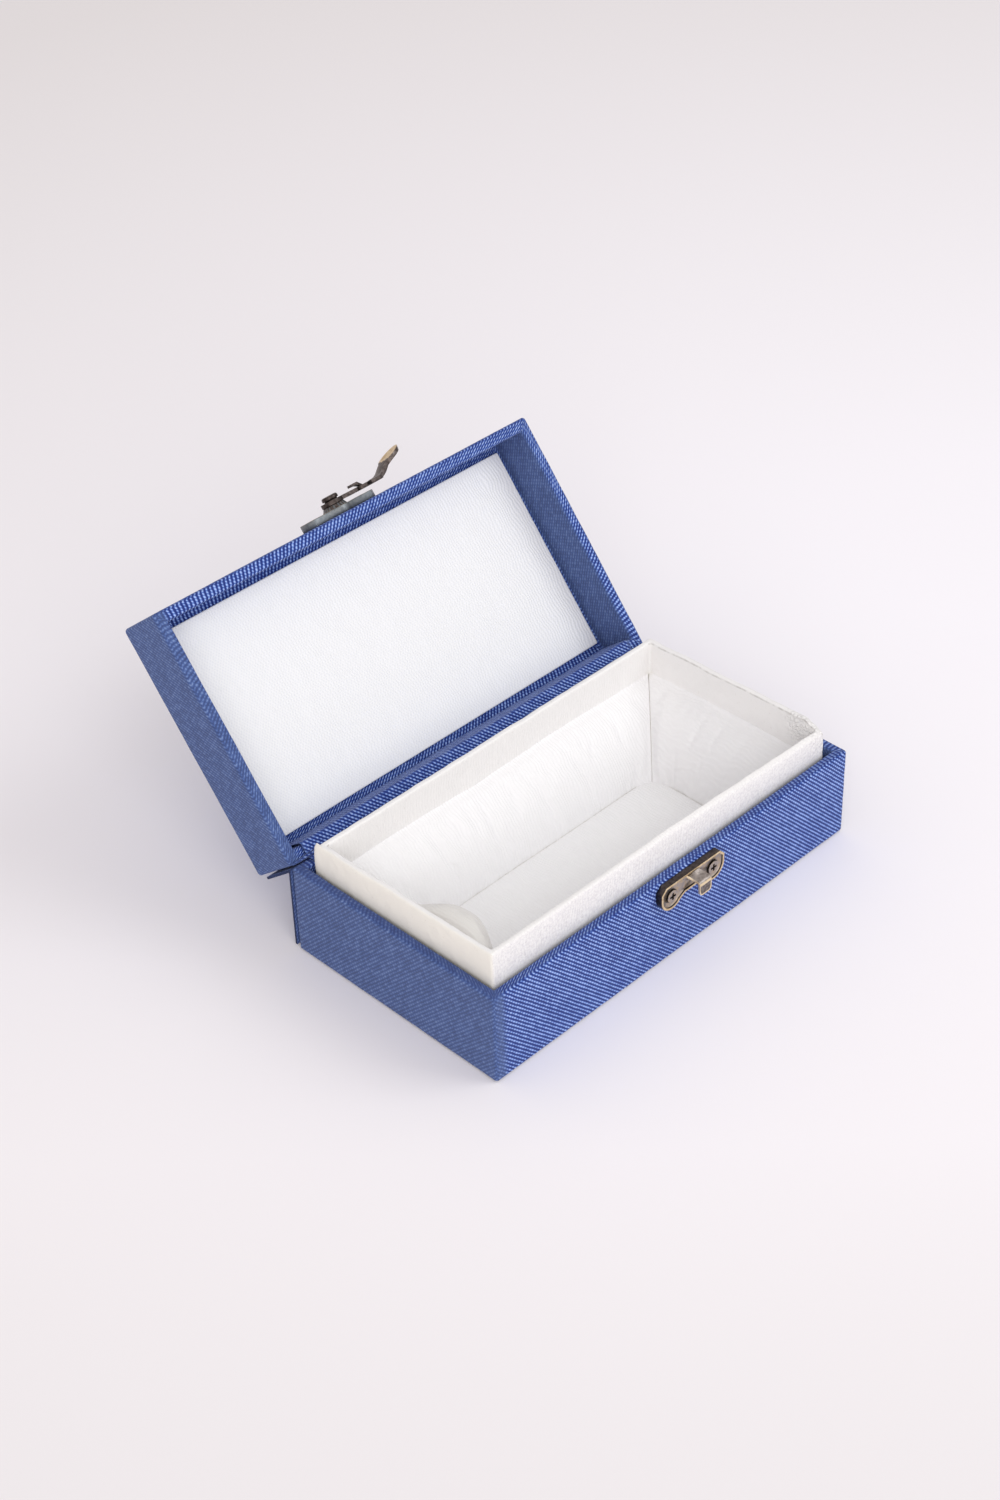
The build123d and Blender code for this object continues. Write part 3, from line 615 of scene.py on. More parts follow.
# Tray: its outline at the foot, its top, and the satin over the walls
neck_low, neck_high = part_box("tray_neck_satin")
tray_half = ((neck_high.x - neck_low.x) / 2, (neck_high.y - neck_low.y) / 2)
tray_middle = np.array((neck_low.x + neck_high.x, neck_low.y + neck_high.y)) / 2
tray_lean_ends = 0.2 * mm
tray_lean_sides = 1.0 * mm
neck_wall = 1.8 * mm
neck_corner = 0.72 * mm
neck_inner_corner = 0.7 * mm
neck_edge = 0.6 * mm
neck_turn_in = 12.0 * mm
neck_thickness = 0.22 * mm
neck_rows = 22
neck_front_left = 9.7 * mm
neck_front_right = 9.6 * mm
neck_back_left = 8.8 * mm
neck_crest = base_high + neck_front_left
front_cut_height = 6.6 * mm
front_cut_start = 26.0 * mm
front_cut_back = 6.7 * mm
front_cut_spread = 0.12 * mm
slope_x = (neck_front_right - neck_front_left) / (2 * tray_half[0])
slope_y = (neck_back_left - neck_front_left) / (2 * tray_half[1])


def neck_top(x, y):
    """Height of the tray's top over a place; the front wall is cut lower to the right."""
    level = neck_crest + slope_x * (x - neck_low.x) + slope_y * (y - neck_low.y)
    cut_x = neck_front_left + slope_x * front_cut_start - front_cut_height
    cut_y = neck_front_right + slope_y * front_cut_back - front_cut_height
    from_right = (x - neck_high.x) / (neck_high.x - neck_low.x - front_cut_start)
    from_front = (y - neck_low.y) / front_cut_back
    cut = base_high + front_cut_height - cut_x * from_right + cut_y * from_front
    # The smaller of the two heights, rounded where they cross
    return (level + cut - np.sqrt((level - cut) ** 2 + front_cut_spread**2)) / 2


def lean_at(height):
    """Share of the tray's lean at a height."""
    return (height - neck_low.z) / (neck_crest - neck_low.z)


def neck_profile():
    """Inset, share of the height and drop along the satin, from its foot over the top to its turn-in."""
    edge = [(neck_edge * rise, neck_edge * (1 - side)) for side, rise in quarter_arc(fold_steps)]
    points = [(0.0, share, share * neck_edge) for share in np.linspace(0, 1, neck_rows)]
    points += [(inset, 1, drop) for inset, drop in edge]
    points += [(neck_wall - neck_edge, 1, 0.0)]
    points += [(neck_wall - drop, 1, inset) for inset, drop in edge]
    points += [(neck_wall, 1, drop) for drop in np.linspace(neck_edge, neck_turn_in, 14)[1:]]
    return points


def neck_satin():
    """The satin round the tray's walls, turned over their top and crumpled at its front right corner."""
    rows = []
    for inset, share, drop in neck_profile():
        radius = max(neck_corner - inset, 0.3 * mm) if inset < neck_wall / 2 else neck_inner_corner
        lean = lean_at(neck_low.z + share * (neck_crest - neck_low.z) - drop)
        size_x = tray_half[0] - inset - lean * tray_lean_ends
        size_y = tray_half[1] - inset - lean * tray_lean_sides
        ring = rounded_ring(size_x, size_y, radius, neck_steps) + tray_middle
        height = neck_low.z + share * (neck_top(ring[:, 0], ring[:, 1]) - neck_low.z) - drop
        rows.append(np.column_stack((ring, height)))
    rows = np.array(rows)
    flat = rows.reshape(-1, 3)
    crumpled_corner = (neck_high.x, neck_low.y + 3 * mm)
    crumpled = np.exp(-np.sum((flat[:, :2] - crumpled_corner) ** 2, axis=1) / (5 * mm) ** 2)
    swell = waves(flat, 14 * mm, 0.07 * mm, 31) + waves(flat, 3.5 * mm, 0.03 * mm, 32)
    swell += waves(flat, 2.2 * mm, 0.10 * mm, 33) * crumpled
    swell_rings(rows, rows[0, :, :2] - tray_middle, swell)
    flat[:, 2] += np.where(flat[:, 2] > base_high, waves(flat, 7 * mm, 0.05 * mm, 34), 0)
    travel = path_lengths(rows[:, 5])
    weave = flat_places(ring_lengths(rows[0, :, :2]), travel - travel[neck_rows + fold_steps])
    piece = grid_mesh("neck_satin", rows, weave / mm, True)
    thicken(piece, neck_thickness)
    return piece


def corner_fold():
    """The fold of satin that stands out behind the tray's back left corner, with a tip at its top."""
    reach = 1.7 * mm
    thick = 0.42 * mm
    foot = base_high - 3 * mm
    tip = base_high + neck_back_left + 0.6 * mm
    tip_share = 0.14
    ring_steps = 14
    root = 1.6 * mm
    lean = lean_at(base_high + neck_back_left)
    x = neck_low.x + lean * tray_lean_ends + 0.12 * mm
    y = neck_high.y - lean * tray_lean_sides - root
    rows = []
    for share in np.linspace(0, 1, 16):
        taper = 1 - max(0, share - 1 + tip_share) / tip_share * 0.72
        out = root + reach * (0.85 + 0.15 * math.sin(5 * share)) * taper
        bend = 0.12 * mm * math.sin(7 * share)
        section = []
        for angle in np.arange(ring_steps) * 2 * math.pi / ring_steps:
            along = (1 - math.cos(angle)) / 2
            side = math.sin(angle) * thick / 2 * (0.55 + 0.45 * along)
            section.append((x + side + bend * along, y + out * along, foot + (tip - foot) * share))
        rows.append(section)
    return closed_form("neck_corner_fold", np.array(rows))


neck = neck_satin()
dress(neck, "base", tray_satin, "white_satin", "tray_neck_satin")
fold = corner_fold()
dress(fold, "base", tray_satin, "white_satin")


# Padded linings: bulging wedges along the four sides, drawn in at the corners and round at the foot
lining_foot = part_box("tray_left_lining")[1].x - neck_low.x
lining_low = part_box("tray_left_lining")[0].z
lining_drop = {"front": 10.2 * mm, "back": 10.4 * mm, "left": 3.0 * mm, "right": 10.6 * mm}
crown_end = 1.5 * mm
crown_middle = {"front": 3.0 * mm, "back": 2.7 * mm, "left": 2.8 * mm, "right": 2.3 * mm}
foot_corner = 9.0 * mm
mitre_gap = -0.05 * mm
seam_step = 0.12 * mm
column_step = 1.25 * mm
row_count = 31
held_columns = 3
held_rows = 4
tucked_share = 0.1
pucker_rise = 0.4 * mm
pucker_length = 7 * mm
bulge_place = 18.4 * mm
bulge_width = 13.0 * mm
bulge_rise = 1.9 * mm
bulge_power = 2.5
bulge_dip = 4.0 * mm
bulge_dip_reach = 2.6 * mm
side_frames = {
    "front": ((neck_low.x, neck_low.y), (1, 0), (0, 1), 2 * tray_half[0]),
    "right": ((neck_high.x, neck_low.y), (0, 1), (-1, 0), 2 * tray_half[1]),
    "back": ((neck_high.x, neck_high.y), (-1, 0), (0, -1), 2 * tray_half[0]),
    "left": ((neck_low.x, neck_high.y), (0, -1), (1, 0), 2 * tray_half[1]),
}


def foot_depth(along, length):
    """How far in the lining's foot reaches, round where two sides meet."""
    beside = min(max(lining_foot + foot_corner - min(along, length - along), 0), foot_corner)
    return lining_foot + foot_corner - math.sqrt(foot_corner**2 - beside**2)


def lining(side, seed):
    """One side's padded lining, and which of its points are free to swell.

    Each column runs from the tray's wall down to the foot as a bulging chord. The left side's chord
    turns into a rounded shelf where it bulges.
    """
    *ways, length = side_frames[side]
    corner, along, inward = map(np.array, ways)
    lean = tray_lean_ends if side in ("left", "right") else tray_lean_sides
    down = np.linspace(0, 1, row_count)
    shape = np.sin(math.pi * down**0.85)
    tuck = np.clip(down / tucked_share, 0, 1) ** 2
    angle = down**0.8 * math.pi / 2
    even = np.linspace(0, 1, int(length / column_step))
    shares = np.concatenate(((0, seam_step / length), even[1:-1], (1 - seam_step / length, 1)))
    face = np.zeros((len(shares), len(down), 3))
    end_foot = lining_foot + foot_corner * (1 - math.sqrt(0.5)) + mitre_gap
    end_depth = None
    for column, part in enumerate(shares):
        middle = 1 - abs(2 * part - 1) ** 5
        crown = crown_end + (crown_middle[side] - crown_end) * middle
        foot_place = end_foot + part * (length - 2 * end_foot)
        foot = foot_depth(foot_place, length)
        from_shelf = (length - part * length - bulge_place) / bulge_width
        bulge = math.exp(-abs(from_shelf) ** 3) if side == "left" else 0.0
        place = corner + along * foot_place + inward * neck_wall
        top = neck_top(place[0], place[1]) - lining_drop[side] + bulge * bulge_rise
        top += pucker_rise * math.sin(foot_place / pucker_length + seed) * middle
        back = neck_wall + lean * lean_at(top) - seam_step
        chord = np.array((foot - back, lining_low - top))
        normal = np.array((-chord[1], chord[0])) / np.linalg.norm(chord)
        depth = back + (chord[0] * down + crown * normal[0] * shape) * tuck
        height = top + chord[1] * down + crown * normal[1] * shape
        shelf_depth = back + chord[0] * np.sin(angle) ** (2 / bulge_power)
        shelf_height = lining_low - chord[1] * np.cos(angle).clip(0, 1) ** (2 / bulge_power)
        shelf_height -= bulge_dip * np.exp(-(shelf_depth - back) / bulge_dip_reach)
        depth = depth + (shelf_depth - depth) * bulge
        height = height + (shelf_height - height) * bulge
        if end_depth is None:
            end_depth = depth
        step = end_depth + mitre_gap + part * (length - 2 * (end_depth + mitre_gap))
        face[column, :, :2] = corner + along * step[:, None] + inward * depth[:, None]
        face[column, :, 2] = height
    top_edge, foot_edge = face[:, :1], face[:, -1:]
    low_edge = top_edge * (1, 1, 0) + (0, 0, lining_low)
    under = [foot_edge + (top_edge - foot_edge) * (share, share, 0) for share in (0.06, 0.5, 0.9, 1.0)]
    wall = [low_edge + (top_edge - low_edge) * share for share in (0.1, 0.5, 0.92)]
    rows = np.concatenate([face, *under, *wall], axis=1)
    free = np.zeros(rows.shape[:2])
    free[held_columns:-held_columns, held_rows : row_count - 1] = 1
    return closed_form(f"{side}_lining", rows), free.ravel()


def fill(piece, free, slack, cap):
    """Swells a lining from within: cloth under pressure at ten times its size, its seams held.

    No point moves further than the cap.
    """
    scene = bpy.context.scene
    scale = 10
    frames = 20
    count = len(piece.data.vertices)
    rest = np.zeros(count * 3, np.float32)
    piece.data.vertices.foreach_get("co", rest)
    rest = rest.reshape(-1, 3)
    middle = rest.mean(axis=0)
    mesh = piece.data.copy()
    mesh.vertices.foreach_set("co", ((rest - middle) * scale).ravel())
    twin = place_object("filling", mesh)
    held = twin.vertex_groups.new(name="held")
    held.add([int(index) for index in np.flatnonzero(free < 0.5)], 1.0, "REPLACE")
    cloth = twin.modifiers.new("cloth", "CLOTH")
    for key, value in {
        "quality": 5,
        "mass": 0.3,
        "tension_stiffness": 12,
        "compression_stiffness": 12,
        "shear_stiffness": 6,
        "bending_stiffness": 0.35,
        "shrink_min": -slack,
        "vertex_group_mass": "held",
        "use_pressure": True,
        "uniform_pressure_force": 4,
    }.items():
        setattr(cloth.settings, key, value)
    cloth.settings.effector_weights.gravity = 0
    cloth.collision_settings.use_collision = False
    for number in range(1, frames + 1):
        scene.frame_set(number)
    graph = bpy.context.evaluated_depsgraph_get()
    filled = twin.evaluated_get(graph).to_mesh()
    ends = np.zeros(count * 3, np.float32)
    filled.vertices.foreach_get("co", ends)
    shift = ends.reshape(-1, 3) / scale + middle - rest
    length = np.linalg.norm(shift, axis=1)
    shift *= (np.minimum(length, cap) / np.maximum(length, 1e-9))[:, None]
    piece.data.vertices.foreach_set("co", (rest + shift).ravel())
    bpy.data.objects.remove(twin)
    scene.frame_set(1)


pad_slack = 0.02
for seed, side in enumerate(("front", "back", "left", "right")):
    pad, free_points = lining(side, seed)
    fill(pad, free_points, pad_slack, 0.5 * mm if side == "left" else 1.0 * mm)
    smooth = pad.modifiers.new("smooth", "SUBSURF")
    smooth.levels = 1
    apply_modifiers(pad)
    pad.data.shade_smooth()
    # The left lining takes the shaded copy of the satin: painted shade
    satin_finish = shaded_satin if side == "left" else lining_satin
    dress(pad, "base", satin_finish, "white_satin", f"tray_{side}_lining", f"tray_{side}_wadding")


# Satin over the floor card and over the lid's panel
def card_cover(name, placing, middle, half_sizes, low, high, corner, seed, wave):
    """Satin over a card: down its sides from a softly uneven face."""
    edge = 0.3 * mm
    profile = [(0.0, low), (0.0, (low + high) / 2), (0.0, high - edge)]
    profile += [(edge * rise, high - edge * (1 - side)) for side, rise in quarter_arc(3)]
    profile += [(inset * mm, high) for inset in (0.7, 1.2, 2.0, 3.0)]
    profile += [(inset, high) for inset in np.linspace(4.2 * mm, min(half_sizes) - 0.6 * mm, 16)]
    rows = ring_rows(profile, *half_sizes, lambda inset: max(corner - inset, 0.2 * mm), card_steps)
    rows[:, :, :2] += middle
    weave = np.concatenate((rows[:, :, :2], rows[:, :1, :2]), axis=1)
    flat = rows.reshape(-1, 3)
    lift = waves(flat, 26 * mm, wave, seed) + waves(flat, 8 * mm, 0.4 * wave, seed + 1)
    flat[:, 2] += np.where(flat[:, 2] > high - edge, lift, 0)
    piece = grid_mesh(name, to_world(flat, placing).reshape(rows.shape), weave / mm, True, (len(rows) - 1,))
    thicken(piece, 0.15 * mm)
    return piece


floor_low, floor_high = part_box("tray_floor_satin")
floor_tuck = 0.45 * mm
floor_half = ((floor_high.x - floor_low.x) / 2 + floor_tuck, (floor_high.y - floor_low.y) / 2 + floor_tuck)
floor_middle = ((floor_high.x + floor_low.x) / 2, (floor_high.y + floor_low.y) / 2)
floor_top = floor_high.z - 0.02 * mm
floor_satin = card_cover(
    "floor_satin", Matrix.Identity(4), floor_middle, floor_half, floor_low.z, floor_top,
    corner=1.5 * mm, seed=41, wave=0.05 * mm,
)
dress(floor_satin, "base", lining_satin, "white_satin", "tray_floor_satin")

panel_side_gap = 1.6 * mm
panel_front_gap = 2.0 * mm
panel_back_gap = 2.7 * mm
panel_thick = 1.5 * mm
panel_half = (half_x - lid_wall - panel_side_gap, half_y - lid_wall - (panel_front_gap + panel_back_gap) / 2)
panel_middle = (0.0, (panel_back_gap - panel_front_gap) / 2)
panel = card_cover(
    "panel_satin", lid_frame, panel_middle, panel_half, lid_floor, lid_floor + panel_thick,
    corner=0.6 * mm, seed=51, wave=0.03 * mm,
)
dress(panel, "lid", panel_satin, "white_satin", "lid_panel_satin")


# Cloth hinge: strips drawn with a fold between the base and the lid
hinge_way = Vector((0, lid_up.y, lid_up.z + 1)).normalized()


def back_point(body, depth, rise):
    """A point by the back walls: depth in from their outer face, rise from the body's own rim."""
    if body == "base":
        return hinge_point + Vector((0, -depth, rise - rim_gap / 2))
    return hinge_point - lid_back * depth + lid_up * (rise + rim_gap / 2)


def rounded_path(corners, radius, steps):
    """Points along a bent line, with an arc in each of its corners."""
    points = [corners[0]]
    for before, corner, after in zip(corners, corners[1:], corners[2:]):
        first = (before - corner).normalized()
        second = (after - corner).normalized()
        reach = min(radius, (before - corner).length * 0.45, (after - corner).length * 0.45)
        for share in np.linspace(0, 1, steps):
            start = corner + first * reach * (1 - share)
            end = corner + second * reach * share
            points.append(start * (1 - share) + end * share)
    points.append(corners[-1])
    return points


def even_path(points, step):
    """More points along a line, no further apart than a step."""
    path = [points[0]]
    for point in points[1:]:
        pieces = max(1, math.ceil((point - path[-1]).length / step))
        start = path[-1]
        path += [start + (point - start) * (share + 1) / pieces for share in range(pieces)]
    return np.array([tuple(point) for point in path])


def hinge_strip(name, corners, radius, half_length, thickness, start_length, seed, widened=0.0, reach=0.0):
    """A strip of cloth along the hinge, from its places seen from the end; it may widen between the rims."""
    path = even_path(rounded_path(corners, radius, 5), 0.8 * mm)
    travel = path_lengths(path)
    across = np.linspace(-half_length, half_length, 120)
    rows = np.zeros((len(path), len(across), 3))
    away = np.abs((path - np.array(hinge_point)) @ np.array(hinge_way))
    wide = 1 + widened / half_length * np.clip((reach - away) / (0.4 * mm), 0, 1)
    rows[:, :, 0] = across * wide[:, None]
    rows[:, :, 1:] = path[:, None, 1:]
    flat = rows.reshape(-1, 3)
    flat[:, 1:] += waves(flat, 18 * mm, 0.03 * mm, seed)[:, None]
    piece = grid_mesh(name, rows, flat_places(across + start_length, travel) / mm, False)
    piece.data.materials.append(blue_bookcloth)
    # The strip's cut rim takes the cut edge painted dark for shade
    piece.data.materials.append(shaded_cut_edge)
    thicken(piece, thickness, offset=1, rim_slot=1)
    return piece, travel[-1]


inner_cloth = 0.35 * mm
inner_leg = 12.0 * mm
inner_fold = 0.8 * mm
inner_half = half_x - base_wall - 2.5 * mm
inner_corners = [
    back_point("base", base_wall + inner_cloth, -inner_leg),
    back_point("base", base_wall + inner_cloth, inner_cloth),
    back_point("base", inner_fold, inner_cloth),
    back_point("lid", inner_fold, -inner_cloth),
    back_point("lid", lid_wall + inner_cloth, -inner_cloth),
    back_point("lid", lid_wall + inner_cloth, inner_leg),
]
inner_hinge, inner_width = hinge_strip(
    "inner_hinge_strip", inner_corners, 0.5 * mm, inner_half, thickness=0.3 * mm,
    start_length=0.31 * half_x, seed=61, widened=base_wall + 2.3 * mm, reach=0.75 * mm,
)
outer_cloth = 0.8 * mm
outer_leg = 15.0 * mm
outer_half = half_x - 0.15 * mm
fold_side = (lid_up - Vector((0, 0, 1))).normalized()
fold_reach = outer_cloth / math.sin((math.pi - open_turn) / 2)
outer_corners = [
    back_point("lid", -outer_cloth, outer_leg),
    hinge_point + fold_side * fold_reach,
    back_point("base", -outer_cloth, 0.4 * mm - (base_high - base_low)),
]
outer_hinge, outer_width = hinge_strip(
    "outer_hinge_strip", outer_corners, 0.8 * mm, outer_half, thickness=0.7 * mm, start_length=0.0, seed=71
)
for strip, kind, width, half, bend_half in (
    (inner_hinge, "inner", inner_width, inner_half, 0.9 * mm),
    (outer_hinge, "outer", outer_width, outer_half, 1.5 * mm),
):
    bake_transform(strip)
    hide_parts(kind + "_hinge_cloth")


# Latch: the CAD pieces with their edges worn round; lengths along the lever are in millimetres
near = 0.05 * mm
sharp_angle = math.radians(28)
plate_levels = (2.0 * mm, 2.5 * mm)
other_levels = (2.0 * mm, 9 * mm)
screw_spacing = 16.3 * mm
screw_reach = 1.3 * mm
slot_depth = 0.45 * mm
slot_half = 0.3 * mm
slot_widening = 0.6
hook_corner = 1.1 * mm
hook_rim = 0.38 * mm
hook_field_depth = 0.12 * mm
hook_field_tone = 0.36
side_reflection = 0.65
lever_start = joints["lever_swing"]["pos_m"][0]
lever_fattening = 0.2 * mm
lever_middle = 0.65 * mm
lever_cuts = np.arange(16, 29, 0.5)
lever_reach = 36
lever_straight = 15.5
bend_start = 17.0
bend_radius = 9.0
bend_turn = math.radians(30)
lever_places = (15.9, 19.9, 22.0, 24.2)
lever_slopes = np.radians((0, 36, 36, 22))
stretched_from = 20
lever_stretch = 0.05


def shape_hook(form, levels):
    """Rounds the lower corners of the hook's face, and returns the field inside its raised rim."""
    lowest = min(vertex.co.z for vertex in form.verts if -vertex.co.y > levels[1])
    corners = [
        edge for edge in form.edges
        if all(-vertex.co.y > levels[1] and vertex.co.z < lowest + near for vertex in edge.verts)
        and abs(edge.verts[0].co.x - edge.verts[1].co.x) < near
    ]
    bmesh.ops.bevel(form, geom=corners, offset=hook_corner, segments=4, profile=0.5, affect="EDGES")
    faces = [face for face in form.faces if face.normal.y < -0.95]
    front = max(faces, key=lambda face: -face.calc_center_median().y)
    bmesh.ops.inset_individual(form, faces=[front], thickness=hook_rim, depth=-hook_field_depth)
    return front.calc_center_median()


def widen_slots(form, out):
    """Opens the cross slots of a pair of screws."""
    up = out.cross(Vector((1, 0, 0)))
    places = np.array([(vertex.co.x, vertex.co.dot(up), vertex.co.dot(out)) for vertex in form.verts])
    middle_x, middle_up, _ = (places.min(axis=0) + places.max(axis=0)) / 2
    bottom = places[:, 2].max() - slot_depth
    for vertex in form.verts:
        if vertex.co.dot(out) < bottom:
            continue
        side = 1 if vertex.co.x > middle_x else -1
        off_x = vertex.co.x - middle_x - side * screw_spacing / 2
        off_up = vertex.co.dot(up) - middle_up
        if math.hypot(off_x, off_up) > screw_reach:
            continue
        if abs(off_x) < slot_half:
            vertex.co.x += off_x * slot_widening
        if abs(off_up) < slot_half:
            vertex.co += up * off_up * slot_widening


def straightened(along, rise):
    """A point of the lever as if its bend were unrolled: its place along it and its height."""
    angle = math.atan2(along - bend_start, bend_radius - rise)
    if along <= bend_start:
        return along, rise
    if angle <= bend_turn:
        off = bend_radius - math.hypot(along - bend_start, bend_radius - rise)
        return bend_start + bend_radius * angle, off
    away = along - bend_start - bend_radius * math.sin(bend_turn)
    above = rise - bend_radius * (1 - math.cos(bend_turn))
    far = bend_start + bend_radius * bend_turn + away * math.cos(bend_turn) + above * math.sin(bend_turn)
    return far, above * math.cos(bend_turn) - away * math.sin(bend_turn)


def curl_lever(form, out):
    """Bends the lever's end up and its finger tab nearly level again, as it curls in the photograph."""
    for cut in lever_cuts:
        place = Vector((lever_start + cut * mm, 0, 0))
        bmesh.ops.bisect_plane(
            form, geom=form.verts[:] + form.edges[:] + form.faces[:], plane_co=place, plane_no=(1, 0, 0)
        )
    low = min(vertex.co.dot(out) for vertex in form.verts) + lever_middle
    path = np.linspace(0, lever_reach, 721)
    slopes = np.interp(path, lever_places, lever_slopes)
    path_along = np.concatenate(((0,), np.cumsum(np.cos(slopes[:-1]) * path[1])))
    path_rise = np.concatenate(((0,), np.cumsum(np.sin(slopes[:-1]) * path[1])))
    for vertex in form.verts:
        along = (vertex.co.x - lever_start) / mm
        rise = (vertex.co.dot(out) - low) / mm
        if along < lever_straight:
            continue
        far, off = straightened(along, rise)
        far += max(far - stretched_from, 0) * lever_stretch
        slope, new_along, new_rise = (
            float(np.interp(far, path, way)) for way in (slopes, path_along, path_rise)
        )
        vertex.co.x = lever_start + (new_along - off * math.sin(slope)) * mm
        vertex.co += out * (new_rise + off * math.cos(slope) - rise) * mm


def face_rubbing_and_shade(face, node, rubbed, field, out, levels, tones):
    """How rubbed a face of a metal piece is, from its place and the way it looks; the hook's downward faces
    get painted shade.
    """
    side_tone, low_tone, middle_tone, high_tone, edge_tone = tones
    middle = face.calc_center_median()
    depth = middle.dot(out)
    on_hook = field and depth > levels[1]
    if node == "lever" and middle.x > lever_start + lever_places[2] * mm:
        at_rim = face in rubbed or abs(face.normal.dot(out)) < 0.4
        return middle_tone if at_rim else high_tone
    if field and face.normal.y < -0.9 and (middle - field).length < 2 * near:
        return hook_field_tone
    if on_hook and depth > field.dot(out) - near:
        return edge_tone
    # Painted shade: the hook's downward faces are dark, as its cavity lies in shade
    if on_hook and face.normal.z < -0.5:
        return 0.0
    if on_hook and abs(face.normal.x) > 0.7 or face in rubbed and depth > levels[0]:
        return edge_tone
    if depth > levels[1]:
        return high_tone
    if face.normal.dot(out) < 0.7:
        return side_tone
    return middle_tone if depth > levels[0] else low_tone


def worn_copy(node, body, bevel, out, levels, tones):
    """A copy of a metal piece with its sharp edges rounded, and how rubbed each of its faces is.

    Levels are depths along out that part its faces into low, middle and high ones. Tones are for
    the sides, for the faces at each level and for the rounded edges. The hook's downward faces get
    painted shade, and the latch plate's sides a painted bluish-grey reflection.
    """
    form = bmesh.new()
    form.from_mesh(nodes[node].data)
    bmesh.ops.remove_doubles(form, verts=form.verts, dist=0.001 * mm)
    bmesh.ops.dissolve_limit(form, angle_limit=math.radians(2), verts=form.verts, edges=form.edges)
    form.normal_update()
    field = shape_hook(form, levels) if node == "catch_plate" else None
    if node.endswith("screws"):
        widen_slots(form, out)
    if node == "lever":
        for vertex in form.verts:
            vertex.co += vertex.normal * lever_fattening
        curl_lever(form, out)
    sharp = [
        edge for edge in form.edges
        if len(edge.link_faces) == 2 and edge.is_convex and edge.calc_face_angle() > sharp_angle
    ]
    bevelled = bmesh.ops.bevel(
        form, geom=sharp, offset=bevel, segments=2, profile=0.6, affect="EDGES", clamp_overlap=True
    )
    rubbed = set(bevelled["faces"])
    rubbing_and_shade = form.faces.layers.float.new("rubbing_and_shade")
    cool_reflection = form.faces.layers.float.new("cool_reflection")
    for face in form.faces:
        face[rubbing_and_shade] = face_rubbing_and_shade(face, node, rubbed, field, out, levels, tones)
        # Painted reflection: the latch plate's plain sides get the bluish grey
        at_side = face.normal.dot(out) < 0.7 and face.calc_center_median().dot(out) <= levels[1]
        face[cool_reflection] = side_reflection if node == "latch_plate" and at_side and face not in rubbed else 0.0
    bmesh.ops.triangulate(form, faces=[face for face in form.faces if len(face.verts) > 4])
    mesh = bpy.data.meshes.new(node + "_worn")
    form.to_mesh(mesh)
    form.free()
    dress(show(node + "_worn", mesh, 40), body, brass, "antique_brass", node)


base_front = (Vector((0, -1, 0)), half_y)
lid_front = (-lid_back, -lid_back.dot(hinge_point) + 2 * half_y)
for node, body, bevel, levels, tones in (
    ("catch_plate", "base", 0.16 * mm, plate_levels, (0.2, 0.58, 0.88, 0.5, 1.0)),
    ("catch_plate_screws", "base", 0.07 * mm, other_levels, (0.0, 0.0, 0.56, 0.6, 0.62)),
    ("latch_plate", "lid", 0.16 * mm, plate_levels, (0.36, 0.5, 0.8, 0.3, 0.62)),
    ("latch_plate_screws", "lid", 0.07 * mm, other_levels, (0.0, 0.0, 0.6, 0.6, 0.5)),
    ("rivet", "lid", 0.12 * mm, other_levels, (0.15, 0.2, 0.35, 0.4, 0.5)),
    ("rivet_washer", "lid", 0.08 * mm, other_levels, (0.15, 0.2, 0.3, 0.4, 0.45)),
    ("lever", "lever", 0.18 * mm, other_levels, (0.2, 0.22, 0.32, 0.86, 0.5)),
):
    out, front = base_front if body == "base" else lid_front
    worn_copy(node, body, bevel, out, [front + level for level in levels], tones)


# Finishes of the pieces whose own shape is right
def finish_nodes(material, *names):
    """Gives CAD nodes a finish."""
    for name in names:
        data = nodes[name].data
        data.materials.clear()
        data.materials.append(material)


for part in ("base_bottom", "lid_top"):
    finish_nodes(board_finish, part + "_board")
for side in ("front", "back", "left", "right"):
    finish_nodes(board_finish, f"base_{side}_board", f"lid_{side}_board")
    finish_nodes(card_finish, f"tray_{side}_card")
finish_nodes(card_finish, "tray_bottom_card", "tray_floor_card", "lid_panel_card")
finish_nodes(paper_finish, "base_bottom_sheet")


# Floor, light and camera
camera_azimuth = math.radians(-44.167)
floor_reach = 6.0
painted_light_middle = (0.22, 0.03, 0)


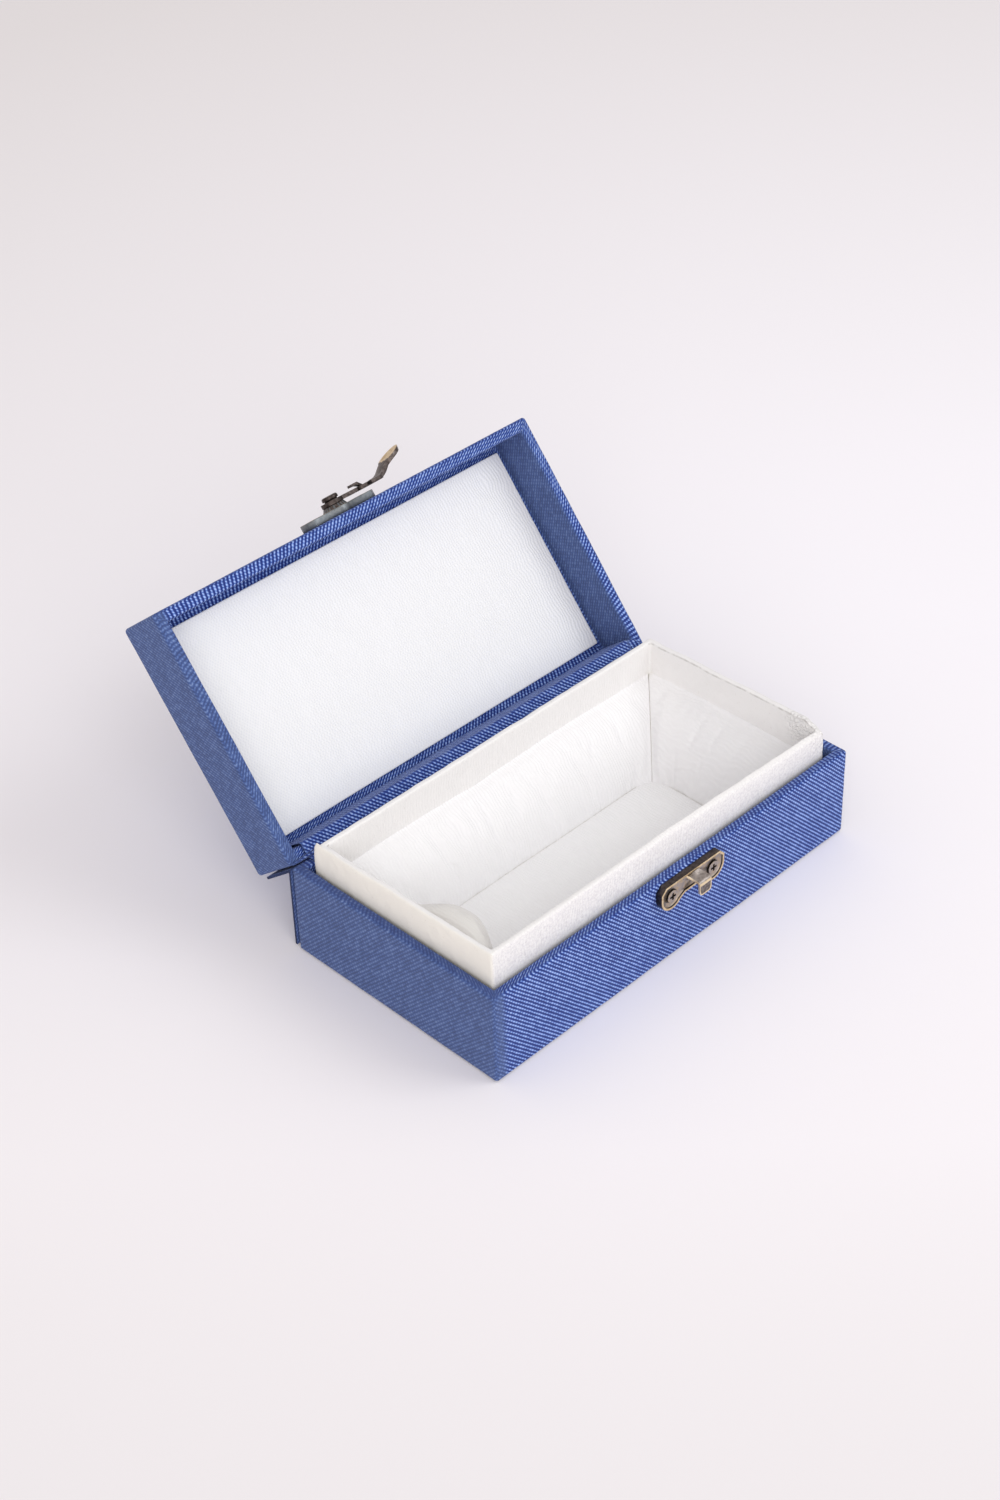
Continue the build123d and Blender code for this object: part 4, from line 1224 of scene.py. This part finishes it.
def make_floor():
    """A wide pale floor that takes the object's shadow, with a painted pool of light: a little greyer far
    from it and near the camera.
    """
    finish = Finish("studio_floor", Roughness=0.9, Specular_IOR_Level=0.1)
    place = finish.add("TexCoord").outputs["Object"]
    away = finish.add("VectorMath", {0: place, 1: painted_light_middle}, operation="DISTANCE").outputs["Value"]
    forward = (math.sin(camera_azimuth), -math.cos(camera_azimuth), 0)
    near_camera = finish.add("VectorMath", {0: place, 1: forward}, operation="DOT_PRODUCT").outputs["Value"]
    colour = srgb(250, 247, 252)
    # Painted pool of light: palest round one point, greyer far from it and towards the camera
    for metres, start, end, painted_dimmer in (
        (away, 0.05, 0.6, srgb(237, 232, 233)),
        (near_camera, 0.1, 0.22, srgb(233, 229, 231)),
    ):
        share = finish.add("MapRange", {"Value": metres, "From Min": start, "From Max": end})
        colour = finish.mix(share.outputs["Result"], colour, painted_dimmer)
    finish.set("Base Color", colour)
    mesh = bpy.data.meshes.new("floor")
    corners = [(floor_reach * x, floor_reach * y, 0) for x, y in ((-1, -1), (1, -1), (1, 1), (-1, 1))]
    mesh.from_pydata(corners, [], [(0, 1, 2, 3)])
    mesh.materials.append(finish.material)
    floor = place_object("floor", mesh)


def make_light(name, place, target, size, watts, colour):
    """A square soft light that looks at a point."""
    data = bpy.data.lights.new(name, "AREA")
    data.size = size
    data.energy = watts
    data.color = colour
    light = place_object(name, data)
    light.location = place
    light.rotation_mode = "QUATERNION"
    light.rotation_quaternion = (Vector(target) - Vector(place)).to_track_quat("-Z", "Y")


make_floor()
middle = (0.0, 0.02, 0.03)
make_light("key", (1.05, -1.2, 1.5), middle, size=1.1, watts=10.2, colour=(0.93, 0.97, 1.0))
make_light("fill", (-1.0, -1.3, 1.0), middle, size=1.4, watts=16.4, colour=(1.0, 0.985, 0.98))

world = bpy.data.worlds.new("studio")
bpy.context.scene.world = world
world.use_nodes = True
background = world.node_tree.nodes["Background"]
background.inputs["Color"].default_value = (1.0, 0.972, 0.965, 1.0)
background.inputs["Strength"].default_value = 0.7

camera_height = math.radians(37.269)
camera_roll = math.radians(-1.867)
camera_distance = 762.355 * mm
camera_target = (30.527 * mm, 60.532 * mm, 0)
focal_pixels = 2548.37
frame_pixels = 1500
camera_data = bpy.data.cameras.new("camera")
camera_data.sensor_fit = "AUTO"
camera_data.sensor_width = 36.0
camera_data.lens = focal_pixels / frame_pixels * camera_data.sensor_width
camera = place_object("camera", camera_data)
camera.matrix_world = (
    Matrix.Translation(camera_target)
    @ Matrix.Rotation(camera_azimuth, 4, "Z")
    @ Matrix.Rotation(math.pi / 2 - camera_height, 4, "X")
    @ Matrix.Rotation(camera_roll, 4, "Z")
    @ Matrix.Translation((0, 0, camera_distance))
)
bpy.context.scene.camera = camera
bpy.context.scene.view_settings.view_transform = "Standard"
